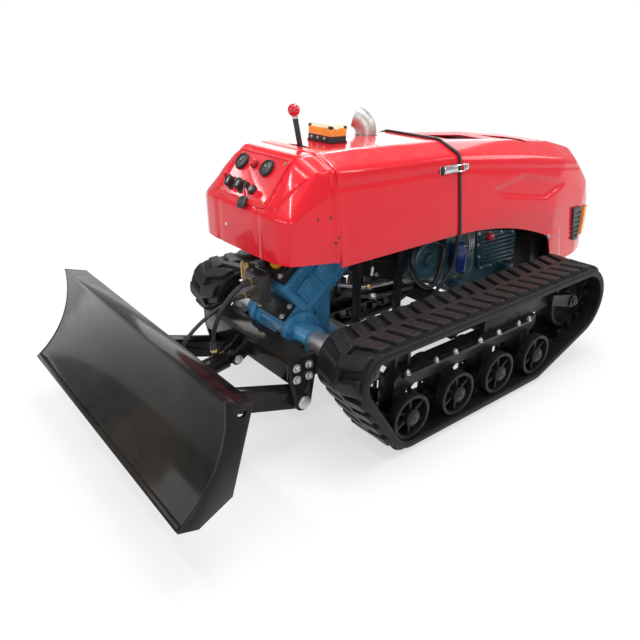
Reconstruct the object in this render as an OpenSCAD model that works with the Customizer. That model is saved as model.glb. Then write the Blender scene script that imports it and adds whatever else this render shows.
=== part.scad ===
// Small crawler dozer: rubber tracks, an open engine bay under a three-piece red bonnet,
// and a straight push blade on two arms lifted by one hydraulic cylinder.
// The blade faces -Y, the machine's left side is +X and the ground is z = 0.

/* [Tracks] */
// Width of each rubber track
track_w = 230; // [200:5:250]
// Outer face of the tracks from the centre plane
track_outer_x = 540; // [530:1:560]
// Thickness of the rubber belt
belt_t = 28; // [24:1:32]
// Height of the tread lugs
lug_h = 14; // [10:1:20]
// Distance between lugs along the track, and between sprocket teeth
lug_pitch = 70; // [60:1:84]
// Length of a lug along the track
lug_len = 46; // [30:1:52]
// Sweep of a lug across the belt
lug_sweep = 34; // [0:1:40]

/* [Running gear] */
// Axle of the drive sprocket ahead of the origin
sprocket_y = -461; // [-475:1:-445]
// Radius of the sprocket under the belt
sprocket_r = 70; // [60:1:74]
// Teeth of the drive sprocket
sprocket_teeth = 7; // [6:1:9]
// Axle of the rear idler behind the origin
idler_y = 660; // [640:1:675]
// Radius of the rear idler
idler_r = 120; // [110:1:126]
// Radius of a road wheel
wheel_r = 83; // [76:1:86]
// Width of a road wheel rim
wheel_w = 36; // [28:1:40]
// First road wheel axle
wheel_y = -321; // [-330:1:-305]
// Distance between road wheel axles
wheel_step = 233; // [225:1:240]
// Road wheels on each side
wheel_count = 4; // [3:1:4]
// Spokes of a road wheel
wheel_spokes = 6; // [4:1:8]
// Width of the lower track beam
beam_w = 60; // [50:1:90]
// Height of the lower track beam
beam_h = 60; // [50:1:64]
// Width of the tensioner tube
tube_w = 76; // [60:1:84]
// Height of the tensioner tube
tube_h = 60; // [50:1:64]

/* [Chassis] */
// Distance of the frame rails from the centre plane
rail_x = 175; // [170:1:180]
// Width of a frame rail
rail_w = 50; // [40:1:60]
// Height of a frame rail
rail_h = 70; // [60:1:80]
// Top of the frame rails above the ground
rail_top = 266; // [258:1:268]
// Rear end of the frame rails
rail_end = 1085; // [1060:1:1100]
// Half length of the front beam
front_beam_x = 265; // [262:1:280]
// Front face of the front beam
front_beam_y = -640; // [-645:1:-635]
// Depth of the front beam
front_beam_d = 95; // [80:1:110]
// Height of the front beam
front_beam_h = 75; // [60:1:80]
// Thickness of the pivot plates
pivot_plate_t = 12; // [10:1:16]

/* [Blade] */
// Width of the blade
blade_w = 1154; // [1000:2:1300]
// Height of the blade
blade_h = 344; // [320:1:350]
// Radius of the curved face
blade_r = 357; // [330:1:400]
// Thickness of the curved plate
blade_t = 8; // [6:1:10]
// Thickness of the end plates
blade_end_t = 10; // [8:1:12]
// Angle of the push arms above level, with the blade carried
carry_angle = 17.5; // [10:0.5:20]
// Push arm width
arm_w = 50; // [40:1:54]
// Push arm height
arm_h = 70; // [60:1:72]
// Radius of the arm pivot pins
pivot_pin_r = 16; // [12:1:18]

/* [Lift cylinder] */
// Outer radius of the barrel
barrel_r = 32; // [28:1:34]
// Radius of the rod
rod_r = 14; // [12:1:16]
// Length of the barrel from its pin
barrel_len = 215; // [200:1:225]
// Radius of the cylinder pins
cylinder_pin_r = 10; // [8:1:12]

/* [Bonnet] */
// Wall of the bonnet panels
skin = 4; // [3:0.5:5]
// Height of the bonnet at the front seam
bonnet_top = 945; // [930:1:950]
// Half width of the flat top
bonnet_flat_x = 150; // [140:1:160]
// Half width of the bonnet at its skirt
bonnet_x = 270; // [262:1:280]
// Seam between the front cowl and the middle bonnet
cowl_seam_y = -420; // [-425:1:-415]
// Seam between the middle bonnet and the rear bonnet
rear_seam_y = 149; // [143:1:155]
// Lower edge of the middle bonnet
skirt_z = 600; // [590:1:610]
// Height of the bonnet at the rear seam
bonnet_rear_top = 924; // [915:1:930]
// Half width of the bonnet at its shoulders
shoulder_x = 238; // [230:1:244]
// Front face of the cowl
cowl_front_y = -635; // [-645:1:-625]
// Height of the lower edge of the control panel
panel_low_z = 786; // [770:1:800]
// Overhang of the bonnet's nose behind the frame rails
nose_overhang = 120; // [105:1:130]
// Half width of the control panel's flat face
panel_x = 144; // [135:1:150]
// Height of the lower edge of the cowl's front
cowl_low = 640; // [620:1:660]

/* [Hoses] */
// Radius of the hose to the base of the lift cylinder
base_hose_r = 8; // [6:0.5:9]
// Radius of the hose to the rod end of the lift cylinder
rod_hose_r = 6.5; // [5:0.5:8]

/* [Hidden] */
$fn = 64;
gap = 0.3;
track_x = track_outer_x - track_w / 2;
track_inner_x = track_outer_x - track_w;
wheel_z = lug_h + belt_t + wheel_r;
top_z = 416;
sprocket_z = top_z - belt_t - sprocket_r;
idler_z = top_z - belt_t - idler_r;
last_wheel_y = wheel_y + wheel_step * (wheel_count - 1);

function left_of(v) = [-v.y, v.x];
function angle_of(v) = atan2(v.y, v.x);

// Track path: the belt runs round the sprocket, over to the idler, down to the last road wheel,
// along the ground to the first one and back up. Each entry is [centre, radius] in the YZ plane.
rounds = [[[sprocket_y, sprocket_z], sprocket_r], [[idler_y, idler_z], idler_r],
    [[last_wheel_y, wheel_z], wheel_r], [[wheel_y, wheel_z], wheel_r]];
function after(i) = (i + 1) % len(rounds);
function before(i) = (i + len(rounds) - 1) % len(rounds);
function run_normal(i) =
    let (d = rounds[after(i)][0] - rounds[i][0], e = d / norm(d),
         c = (rounds[i][1] - rounds[after(i)][1]) / norm(d))
    c * e + sqrt(1 - c * c) * left_of(e);
function arc_start(i) = angle_of(run_normal(before(i)));
function arc_sweep(i) = (arc_start(i) - angle_of(run_normal(i)) + 720) % 360;
function pitch_r(i) = rounds[i][1] + belt_t / 2;
function arc_len(i) = arc_sweep(i) * PI / 180 * pitch_r(i);
function run_point(i, j, off) = rounds[j][0] + (rounds[j][1] + off) * run_normal(i);
function run_len(i) = norm(run_point(i, after(i), 0) - run_point(i, i, 0));
function round_point(i, a, off) = rounds[i][0] + (rounds[i][1] + off) * [cos(a), sin(a)];
function belt_length() = arc_len(0) + run_len(0) + arc_len(1) + run_len(1)
    + arc_len(2) + run_len(2) + arc_len(3) + run_len(3);
// [point, outward angle] at a distance along the belt, off above the wheels
function belt_at(s, off, i = 0) =
    s < arc_len(i)
        ? let (a = arc_start(i) - s / arc_len(i) * arc_sweep(i)) [round_point(i, a, off), a]
        : s < arc_len(i) + run_len(i)
            ? let (t = (s - arc_len(i)) / run_len(i))
              [(1 - t) * run_point(i, i, off) + t * run_point(i, after(i), off), angle_of(run_normal(i))]
            : belt_at(s - arc_len(i) - run_len(i), off, after(i));
arc_step = 9;
function belt_outline(off) = [for (i = [0:len(rounds) - 1])
    let (n = ceil(arc_sweep(i) / arc_step))
    for (k = [0:n]) round_point(i, arc_start(i) - arc_sweep(i) * k / n, off)];

// Turns a drawing in YZ into a solid from x to x + w
module across(x, w) {
    translate([x, 0, 0]) rotate([90, 0, 90]) linear_extrude(w) children();
}
// A round bar or bore along X at y, z
module crossbar(x, y, z, w, r) {
    translate([x, y, z]) rotate([0, 90, 0]) cylinder(r = r, h = w);
}
module both_sides() {
    children();
    mirror([1, 0, 0]) children();
}
module box(low, high) {
    translate(low) cube(high - low);
}

// Rubber tracks: a flat belt with two staggered rows of swept lugs, trimmed where they meet the ground
lug_count = round(belt_length() / lug_pitch);
lug_root = 10;
lug_edge = 18;
lug_inner = -12;
lug_high = (lug_sweep + lug_len) / 2;
// Height of a lug that starts at height z and points along angle a, with its corners kept off the ground
function lug_height(z, a) = sin(a) > -0.5 ? lug_h + lug_root
    : min(lug_h + lug_root, (z - abs(lug_high * cos(a))) / -sin(a));
module lug(side, h) {
    inner = side * lug_inner;
    outer = side * (track_w / 2 - lug_edge);
    linear_extrude(h) polygon([[inner, -lug_high], [outer, lug_high - lug_len], [outer, lug_high],
        [inner, lug_len - lug_high]]);
}
module track() {
    across(track_inner_x, track_w) difference() {
        polygon(belt_outline(belt_t));
        polygon(belt_outline(0));
    }
    for (k = [0:lug_count - 1], side = [-1, 1]) {
        place = belt_at((k + (side + 1) / 4) * belt_length() / lug_count, belt_t - lug_root);
        translate([track_x, place[0].x, place[0].y]) rotate([place[1] - 90, 0, 0])
            lug(side, lug_height(place[0].y, place[1]));
    }
}
module track_left() { color("#232426") track(); }
module track_right() { color("#232426") mirror([1, 0, 0]) track(); }

// Drive sprockets, on shafts from the gearbox
sprocket_w = 60;
// Room between the belt and what it runs round
belt_fit = 1;
tooth_shape = [[-0.36, 0.76], [-0.24, 0.86], [-0.15, 0.98], [-0.05, 1],
    [0.05, 1], [0.15, 0.98], [0.24, 0.86], [0.36, 0.76]];
module sprocket() {
    translate([track_x - sprocket_w / 2, sprocket_y, sprocket_z]) rotate([0, 90, 0]) difference() {
        linear_extrude(sprocket_w) polygon([for (k = [0:sprocket_teeth - 1], t = tooth_shape)
            let (a = (k + t.x) * 360 / sprocket_teeth) (sprocket_r - belt_fit) * t.y * [cos(a), sin(a)]]);
        translate([0, 0, -1]) cylinder(r = shaft_r + gap, h = sprocket_w + 2);
    }
}
module sprockets() { color("#2b2b2d") both_sides() sprocket(); }

shaft_r = 24;
shaft_start = 140;
boot_r = 40;
module final_shaft() {
    crossbar(shaft_start, sprocket_y, sprocket_z, track_x + sprocket_w / 2 + 20 - shaft_start, shaft_r);
    crossbar(drum_x + housing_len + 2, sprocket_y, sprocket_z, track_inner_x - 10 - drum_x - housing_len, boot_r);
}
module final_shafts() { color("#1d1d1f") both_sides() final_shaft(); }

// Road wheels: spoked pairs on short axles under the track beam
wheel_out = 14;
wheel_outer_x = track_outer_x - wheel_out - wheel_w;
wheel_inner_x = track_inner_x + wheel_out;
axle_r = 15;
hub_r = 24;
module wheel_rim() {
    rim_t = 12;
    rotate([0, 90, 0]) {
        rotate_extrude() translate([wheel_r - rim_t - belt_fit, 0]) square([rim_t, wheel_w]);
        cylinder(r = hub_r, h = wheel_w);
        for (k = [0:wheel_spokes - 1]) rotate(k * 360 / wheel_spokes)
            translate([hub_r - 4, -5, wheel_w / 2 - 6]) cube([wheel_r - rim_t - hub_r + 6, 10, 12]);
    }
}
module wheel_pair(y) {
    translate([wheel_outer_x, y, wheel_z]) wheel_rim();
    translate([wheel_inner_x, y, wheel_z]) wheel_rim();
    crossbar(wheel_inner_x, y, wheel_z, wheel_outer_x + wheel_w - wheel_inner_x + 10, axle_r);
}
module road_wheels() {
    for (i = [0:wheel_count - 1]) wheel_pair(wheel_y + i * wheel_step);
}
module road_wheels_left() { color("#202022") road_wheels(); }
module road_wheels_right() { color("#202022") mirror([1, 0, 0]) road_wheels(); }

// Track frame: lower beam with axle hangers and a bolting ledge, a skid for the upper run,
// and the tensioner tube on top of it
beam_outer = track_x + 55;
beam_bottom = wheel_z + wheel_r + 10;
beam_top = beam_bottom + beam_h;
beam_front = wheel_y - 48;
beam_back = last_wheel_y + 30;
beam_bevel = 22;
ledge_w = 16;
ledge_t = 12;
tube_front = 105;
tube_back = 505;
tube_t = 6;
hanger_w = 70;
hanger_len = 62;
hanger_drop = 26;
skid_y = -345;
skid_len = 74;
skid_w = 60;
skid_leg = 14;
cross_tube_r = 24;
cross_ys = [-240, 305];
function wheel_at(i) = wheel_y + i * wheel_step;
module beam_side() {
    polygon([[beam_front, beam_bottom], [beam_front, beam_top - beam_bevel], [beam_front + beam_bevel, beam_top],
             [beam_back, beam_top], [beam_back, beam_bottom + beam_bevel], [beam_back - beam_bevel, beam_bottom]]);
}
module hanger_side(y) {
    half = hanger_len / 2;
    toe = hanger_len / 3;
    polygon([[y - half, beam_bottom + 2], [y - half, wheel_z + 4], [y - toe, wheel_z - hanger_drop],
             [y + toe, wheel_z - hanger_drop], [y + half, wheel_z + 4], [y + half, beam_bottom + 2]]);
}
module skid() {
    skid_top = top_z - belt_t - 14;
    skid_back = skid_y + skid_len;
    for (y = [skid_y, skid_back - skid_leg])
        box([track_x - skid_w / 2, y, beam_top - 2], [track_x + skid_w / 2, y + skid_leg, skid_top - 4]);
    across(track_x - skid_w / 2 - 4, skid_w + 8) polygon([[skid_y - 10, skid_top - skid_leg], [skid_y, skid_top],
        [skid_back, skid_top], [skid_back + 10, skid_top - skid_leg]]);
}
module track_frame() {
    difference() {
        union() {
            across(beam_outer - beam_w, beam_w) beam_side();
            for (i = [0:wheel_count - 1]) across(track_x - hanger_w / 2, hanger_w) hanger_side(wheel_at(i));
        }
        for (i = [0:wheel_count - 1])
            crossbar(track_x - hanger_w, wheel_at(i), wheel_z, 2 * hanger_w, axle_r + gap);
    }
    box([beam_outer - 2, beam_front + 30, beam_top - ledge_t - 3],
        [beam_outer + ledge_w, beam_back - 50, beam_top - 3]);
    skid();
    difference() {
        box([track_x - tube_w / 2, tube_front, beam_top - 1], [track_x + tube_w / 2, tube_back, beam_top + tube_h]);
        box([track_x - tube_w / 2 + tube_t, tube_front + 40, beam_top + tube_t],
            [track_x + tube_w / 2 - tube_t, tube_back + 1, beam_top + tube_h - tube_t]);
    }
    for (y = cross_ys)
        crossbar(rail_x + rail_w / 2, y, rail_top - cross_tube_r,
            beam_outer - beam_w - rail_x - rail_w / 2 + 2, cross_tube_r);
}
module track_frame_left() { color("#2a2826") track_frame(); }
module track_frame_right() { color("#2a2826") mirror([1, 0, 0]) track_frame(); }

// Rear idlers, in the forks of the tensioners
idler_w = 84;
fork_t = 12;
module idler() {
    translate([track_x - idler_w / 2, idler_y, idler_z]) rotate([0, 90, 0]) difference() {
        rotate_extrude() polygon([[0, 10], [40, 10], [46, 30], [idler_r - 20, 30], [idler_r - 16, 0],
            [idler_r - belt_fit, 0], [idler_r - belt_fit, idler_w], [idler_r - 16, idler_w],
            [idler_r - 20, idler_w - 30], [46, idler_w - 30], [40, idler_w - 10], [0, idler_w - 10]]);
        translate([0, 0, -1]) cylinder(r = axle_r + gap, h = idler_w + 2);
    }
}
module idlers() { color("#29292b") both_sides() idler(); }

fork_x = track_x - idler_w / 2 - 4 - fork_t;
tube_mid = beam_top + tube_h / 2;
module fork_plate(x) {
    across(x, fork_t) union() {
        translate([idler_y, idler_z]) circle(r = 30);
        polygon([[tube_back + 4, tube_mid - 22], [idler_y - 8, idler_z - 26], [idler_y + 8, idler_z + 26],
                 [tube_back + 4, tube_mid + 22]]);
    }
}
module tensioner() {
    slide_half = tube_w / 2 - tube_t - 1;
    fork_plate(fork_x);
    fork_plate(2 * track_x - fork_x - fork_t);
    box([fork_x, tube_back + 4, tube_mid - 22], [2 * track_x - fork_x, tube_back + 16, tube_mid + 22]);
    box([track_x - slide_half, tube_front + 60, tube_mid - 20], [track_x + slide_half, tube_back + 5, tube_mid + 20]);
    crossbar(fork_x - 6, idler_y, idler_z, 2 * (track_x - fork_x) + 12, axle_r);
    translate([track_x, tube_front - 150, tube_mid]) rotate([-90, 0, 0]) {
        cylinder(r = 11, h = 150);
        cylinder(r = 20, h = 24, $fn = 6);
    }
}
module tensioners() { color("#343230") both_sides() tensioner(); }

// Main frame: two channel rails with risers to the front beam, and cross members
rail_front = front_beam_y + front_beam_d + gap;
riser_d = 26;
cross_w = 60;
module frame_rails() {
    color("#232325") {
        both_sides() difference() {
            union() {
                box([rail_x - rail_w / 2, rail_front, rail_top - rail_h], [rail_x + rail_w / 2, rail_end, rail_top]);
                box([rail_x - rail_w / 2, rail_front, rail_top - 1],
                    [rail_x + rail_w / 2, rail_front + riser_d, beam_low + front_beam_h]);
            }
            box([rail_x - rail_w / 2 - 1, rail_front + riser_d, rail_top - rail_h + 8],
                [rail_x + rail_w / 2 - 8, rail_end - 8, rail_top - 8]);
        }
        for (y = [cross_ys[0] - cross_w / 2, cross_ys[1] - cross_w / 2, rail_end - cross_w])
            box([-rail_x - rail_w / 2 + 7, y, rail_top - rail_h + 2], [rail_x + rail_w / 2 - 7, y + cross_w, rail_top - 12]);
    }
}

// Front beam with its top plate and the ears for the lift cylinder
beam_low = 255;
ear_t = 12;
barrel_eye_w = 36;
cylinder_foot = [front_beam_y - 43, 258];
module front_beam() {
    ear_x = barrel_eye_w / 2 + 1;
    color("#1b1b1d") difference() {
        union() {
            box([-front_beam_x, front_beam_y, beam_low],
                [front_beam_x, front_beam_y + front_beam_d, beam_low + front_beam_h]);
            for (x = [-ear_x - ear_t, ear_x]) across(x, ear_t) union() {
                translate(cylinder_foot) circle(r = 24);
                polygon([[cylinder_foot.x, cylinder_foot.y + 24], [front_beam_y + 1, beam_low + front_beam_h - 10],
                         [front_beam_y + 1, beam_low + 4], [cylinder_foot.x, cylinder_foot.y - 24]]);
            }
        }
        box([-front_beam_x + 8, front_beam_y + 8, beam_low - 1],
            [front_beam_x - 8, front_beam_y + front_beam_d - 8, beam_low + front_beam_h - 8]);
    }
    pin_x = ear_x + ear_t + 6;
    color("#8b8c90") crossbar(-pin_x, cylinder_foot.x, cylinder_foot.y, 2 * pin_x, cylinder_pin_r);
}

// Pivot plates at the ends of the front beam, and the pins that carry the push arms
pivot = [front_beam_y + 55, 168];
bolt_d = [50, 42];
bolt_at = [front_beam_y + 55, 281];
pivot_boss_r = 34;
module pivot_plate() {
    plate_top = beam_low + front_beam_h + 4;
    plate_back = front_beam_y + front_beam_d + 12;
    difference() {
        across(front_beam_x, pivot_plate_t) union() {
            translate(pivot) circle(r = pivot_boss_r);
            polygon([[pivot.x - pivot_boss_r, pivot.y], [front_beam_y, beam_low + 10], [front_beam_y, plate_top],
                     [plate_back, plate_top], [plate_back, beam_low + 10], [pivot.x + pivot_boss_r, pivot.y]]);
        }
        crossbar(front_beam_x - 1, pivot.x, pivot.y, pivot_plate_t + 2, pivot_pin_r + gap);
        for (dy = [-0.5, 0.5], dz = [-0.5, 0.5])
            crossbar(front_beam_x - 1, bolt_at.x + dy * bolt_d.x, bolt_at.y + dz * bolt_d.y, pivot_plate_t + 2, 8);
    }
}
module pivot_plates() { color("#1b1b1d") both_sides() pivot_plate(); }

arm_outer_x = front_beam_x - 6;
module pivot_pin() {
    crossbar(arm_outer_x - arm_w - 14, pivot.x, pivot.y, arm_w + 14 + 6 + pivot_plate_t + 5, pivot_pin_r);
    crossbar(front_beam_x + pivot_plate_t + 1, pivot.x, pivot.y, 10, pivot_pin_r + 8);
}
module pivot_pins() { color("#8b8c90") both_sides() pivot_pin(); }

// Gearbox: an inclined case over the drive axle with a lower step in front, on a foot across the rails
case_angle = 40;
case_low = 0;
case_high = 170;
case_start = 60;
case_end = 300;
case_x = 90;
step_start = -18;
step_low = -30;
step_high = 70;
flange_t = 14;
flange_bolt_xs = [-55, 36];
pocket = 6;
pocket_edge = 14;
drum_r = 78;
drum_body_r = step_high - 4;
drum_x = case_x + 3;
drum_w = 22;
bell_r = 75;
foot_y = sprocket_y + 100;
foot_len = 70;
function case_top(y) = sprocket_z + case_high / cos(case_angle) + (y - sprocket_y) * tan(case_angle);
function case_mid(y) = sprocket_z + (y - sprocket_y) * tan(case_angle) + 30;
module along_case() {
    translate([0, sprocket_y, sprocket_z]) rotate([case_angle, 0, 0]) children();
}
module gearbox() {
    color("#1f5f8c") {
        along_case() {
            difference() {
                box([-case_x, case_start, case_low], [case_x, case_end, case_high]);
                both_sides() box([case_x - pocket, drum_r + 8, case_low + pocket_edge],
                    [case_x + 1, case_end - 12, case_high - pocket_edge]);
            }
            box([-case_x + 6, step_start, step_low], [case_x - 6, case_start + 2, step_high]);
            box([-case_x + 1, step_start - flange_t, step_low + 20], [case_x - 20, step_start + 2, step_high - 16]);
            for (x = flange_bolt_xs) translate([x, step_start - flange_t + 1, (step_low + step_high) / 2])
                rotate([90, 0, 0]) cylinder(r = 10, h = 9, $fn = 6);
            translate([0, case_end - 2, (case_low + case_high) / 2]) rotate([-90, 0, 0]) cylinder(r = bell_r, h = 48);
        }
        both_sides() crossbar(drum_x - drum_w, sprocket_y, sprocket_z, drum_w, drum_body_r);
        box([-rail_x - rail_w / 2, foot_y, rail_top], [rail_x + rail_w / 2, foot_y + foot_len, rail_top + 24]);
        across(-60, 120) polygon([[foot_y + 5, rail_top + 4], [foot_y + foot_len - 5, rail_top + 4],
            [foot_y + foot_len - 5, case_mid(foot_y + foot_len - 5)], [foot_y + 5, case_mid(foot_y + 5)]]);
    }
}
// Two square covers in the pocket on each side, each with a raised boss
cover_pitch = 92;
cover_size = [72, 82];
module gearbox_covers() {
    low = [drum_r + 14, 44];
    color("#27699a") both_sides() along_case() for (k = [0, 1]) {
        near = low + [k * cover_pitch, -k * 6];
        far = near + cover_size;
        box([case_x - pocket + gap, near.x, near.y], [case_x + 4, far.x, far.y]);
        box([case_x + 3, near.x + 14, near.y + 14], [case_x + 8, far.x - 14, far.y - 14]);
    }
}
housing_len = 88;
module axle_housing() {
    difference() {
        union() {
            crossbar(drum_x + gap, sprocket_y, sprocket_z, 18, drum_r);
            crossbar(drum_x + gap, sprocket_y, sprocket_z, housing_len, 48);
            for (k = [0:7]) translate([drum_x + 17, sprocket_y, sprocket_z]) rotate([k * 45 + 22.5, 0, 0])
                translate([0, drum_r - 14, 0]) rotate([0, 90, 0]) cylinder(r = 8, h = 8, $fn = 6);
        }
        crossbar(case_x - 1, sprocket_y, sprocket_z, 120, shaft_r + gap);
    }
}
module axle_housings() { color("#2f76a6") both_sides() axle_housing(); }

// Black cover plate on the step of the gearbox
module pto_cover() {
    color("#33312f") along_case()
        box([-case_x + 8, step_start + 6, step_high + gap], [case_x - 14, case_start - 4, step_high + 14]);
}

// Engine: block with its feet on the rails, ribbed crankcase cover, filter, pulley with its belt, and radiator
engine_x = 150;
engine_y = 225;
engine_back = 675;
engine_low = rail_top + 34;
engine_top = 600;
deck_z = engine_top - 30;
sump_cut = 60;
head_x = 120;
front_case_x = 110;
front_case_y = 65;
mount_w = 44;
mount_len = 50;
mount_h = 60;
module engine_block() {
    color("#2c4654") {
        across(-engine_x, 2 * engine_x) polygon([[engine_y, engine_low + sump_cut], [engine_y + sump_cut, engine_low],
            [engine_back - sump_cut, engine_low], [engine_back, engine_low + sump_cut], [engine_back, deck_z - 30],
            [engine_back - 30, deck_z], [engine_y, deck_z]]);
        box([-head_x, engine_y + 30, deck_z - 1], [head_x, engine_back - 60, engine_top]);
        box([-front_case_x, front_case_y, pulley_at.y - 74], [front_case_x, engine_y + 2, pulley_at.y + 86]);
        for (y = [engine_y + 40, engine_back - 90]) {
            mount_top = engine_low + mount_h;
            for (s = [-1, 1])
                translate([s * rail_x - mount_w / 2, y, rail_top]) cube([mount_w, mount_len, mount_top - rail_top]);
            box([-rail_x, y + 1, engine_low + 1], [rail_x, y + mount_len - 1, mount_top - 1]);
        }
    }
}
cover_t = 16;
rib_count = 8;
rib_step = 18;
rib_w = 8;
cover_front = engine_y + 170;
cover_back = engine_back - 10;
cover_low = engine_low + mount_h + 4;
cover_h = 176;
module cover_side() {
    high = cover_low + cover_h;
    polygon([[cover_front, high - 10], [cover_front + 10, high], [cover_back - 10, high - 40], [cover_back, high - 52],
        [cover_back, cover_low + 10], [cover_back - 10, cover_low], [cover_front + 45, cover_low],
        [cover_front + 33, cover_low + 10]]);
}
module engine_cover() {
    color("#38535f") {
        across(engine_x, cover_t) cover_side();
        across(engine_x + cover_t - 1, 14) intersection() {
            offset(delta = -10) cover_side();
            for (k = [0:rib_count - 1]) {
                near = [cover_front - 15, cover_low + 20 + k * rib_step];
                far = [cover_back + 15, cover_low + 10 + k * rib_step];
                polygon([near, far, far + [0, rib_w], near + [0, rib_w]]);
            }
        }
    }
}
filter_r = 32;
module oil_filter() {
    color("#1d3f8f") translate([engine_x + filter_r + 6, engine_y + 38, 412]) {
        cylinder(r = filter_r, h = 92);
        translate([0, 0, 91]) cylinder(r = filter_r - 8, h = 18);
        translate([-filter_r - 6 + gap, -12, 40]) cube([20, 24, 40]);
    }
}
pulley_at = [125, 474];
pulley_r = 80;
module belt_guard() {
    color("#26343c") translate([front_case_x + gap, pulley_at.x, pulley_at.y]) rotate([90, 0, 90]) rotate_extrude()
        polygon([[0, 0], [pulley_r - 4, 0], [pulley_r, 6], [pulley_r, 14], [pulley_r - 10, 22], [pulley_r, 30],
                 [pulley_r, 44], [pulley_r - 6, 50], [pulley_r - 14, 50], [pulley_r - 20, 36], [28, 36], [24, 54], [0, 54]]);
}
fan_room = 70;
radiator_y = engine_back + fan_room;
radiator_d = 108;
radiator_x = 205;
core_top = 650;
header_h = 40;
fan_r = 130;
fan_z = 500;
fan_hub_r = 40;
module radiator() {
    color("#151617") {
        box([-radiator_x, radiator_y, rail_top], [radiator_x, radiator_y + radiator_d, core_top]);
        box([-radiator_x + 30, radiator_y + 8, core_top - 1],
            [radiator_x - 30, radiator_y + radiator_d - 8, core_top + header_h]);
        translate([0, radiator_y - 30, fan_z]) rotate([-90, 0, 0]) difference() {
            cylinder(r = fan_r, h = 31);
            translate([0, 0, -1]) cylinder(r = fan_r - 8, h = 22);
        }
        translate([0, engine_back + gap, fan_z]) rotate([-90, 0, 0])
            cylinder(r = fan_hub_r, h = radiator_y - engine_back - 1);
    }
}

// Hydraulics and control linkage under the cowl
tank_start = 80;
tank_end = 165;
tank_high = case_high + 30;
shelf_z = 578;
shelf_t = 8;
shelf_y = sprocket_y - 44;
module hydraulic_tank() {
    color("#262524") {
        along_case() difference() {
            box([-85, tank_start, case_high + gap], [75, tank_end, tank_high]);
            translate([-100, tank_start, tank_high]) rotate([45, 0, 0]) cube([200, 12, 12], center = true);
        }
        across(-118, 86) polygon([[shelf_y, shelf_z - 38], [shelf_y, shelf_z], [shelf_y - 85, shelf_z],
            [shelf_y - 85, shelf_z - shelf_t], [shelf_y - 11, shelf_z - shelf_t], [shelf_y - 11, shelf_z - 48]]);
    }
}
module filler_cap() {
    color("#e6a417") along_case() translate([20, tank_start + 48, tank_high + gap]) {
        cylinder(r = 16, h = 10);
        translate([0, 0, 9]) cylinder(r = 22, h = 14, $fn = 12);
    }
}
valve_low = [-45, -590, 440];
valve_high = [45, -545, 540];
port_hex_r = 12;
rod_xs = [-92, -68];
rod_y = -566;
lever_low = 462;
lever_t = 12;
module control_valve() {
    color("#2a2b2d") {
        box(valve_low, valve_high);
        box([rod_xs[0] - 10, rod_y - 8, lever_low], [valve_low.x + 1, rod_y + 8, lever_low + lever_t]);
        along_case() box([-30, tank_start - 44, case_high + 10], [30, tank_start - gap, tank_high - 2]);
        for (p = [base_route[len(base_route) - 1], rod_route[len(rod_route) - 1]])
            translate([p.x, p.y + gap, p.z]) rotate([-90, 0, 0])
                cylinder(r = port_hex_r, h = valve_low.y + 1 - p.y, $fn = 6);
    }
}
module linkage_rods() {
    start = lever_low + lever_t + gap;
    color("#b98f3c") for (x = rod_xs) translate([x, rod_y, start]) {
        cylinder(r = 5, h = shelf_z - shelf_t - gap - start);
        translate([0, 0, 18]) cylinder(r = 10, h = 58, $fn = 6);
        cylinder(r = 9, h = 8);
    }
}

// Bonnet shells: a hull of balls, hollowed by the same hull with smaller balls
module ball_hull(centres, r) {
    hull() for (p = centres, s = [-1, 1]) translate([s * p.x, p.y, p.z]) sphere(r = r, $fn = 24);
}
module shell(centres, r) {
    difference() {
        ball_hull(centres, r);
        ball_hull(centres, r - skin);
    }
}

// Height of the middle bonnet's crown along its length, and the lean of its sides
bonnet_r = 20;
shoulder_drop = 55;
function bonnet_z(y) = bonnet_top + (bonnet_rear_top - bonnet_top) * (y - cowl_seam_y) / (rear_seam_y - cowl_seam_y);
function bonnet_lean(y) = atan2(bonnet_x - shoulder_x, bonnet_z(y) - shoulder_drop - skirt_z - bonnet_r);
bonnet_fall = atan2(bonnet_top - bonnet_rear_top, rear_seam_y - cowl_seam_y);
module on_top(x, y) {
    translate([x, y, bonnet_z(y)]) rotate([-bonnet_fall, 0, 0]) children();
}
module on_side(y, z) {
    lean = bonnet_lean(y);
    drop = (bonnet_z(y) - shoulder_drop + bonnet_r * sin(lean) - z) / cos(lean);
    face = shoulder_x - bonnet_r + bonnet_r * cos(lean) + drop * sin(lean);
    translate([face, y, z]) rotate([0, -lean, 0]) children();
}
function section(y, r, low) = [[bonnet_flat_x - r * 0.8, y, bonnet_z(y) - r],
    [shoulder_x - r, y, bonnet_z(y) - shoulder_drop], [bonnet_x - r, y, skirt_z + bonnet_r], [bonnet_x - r, y, low]];

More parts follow.
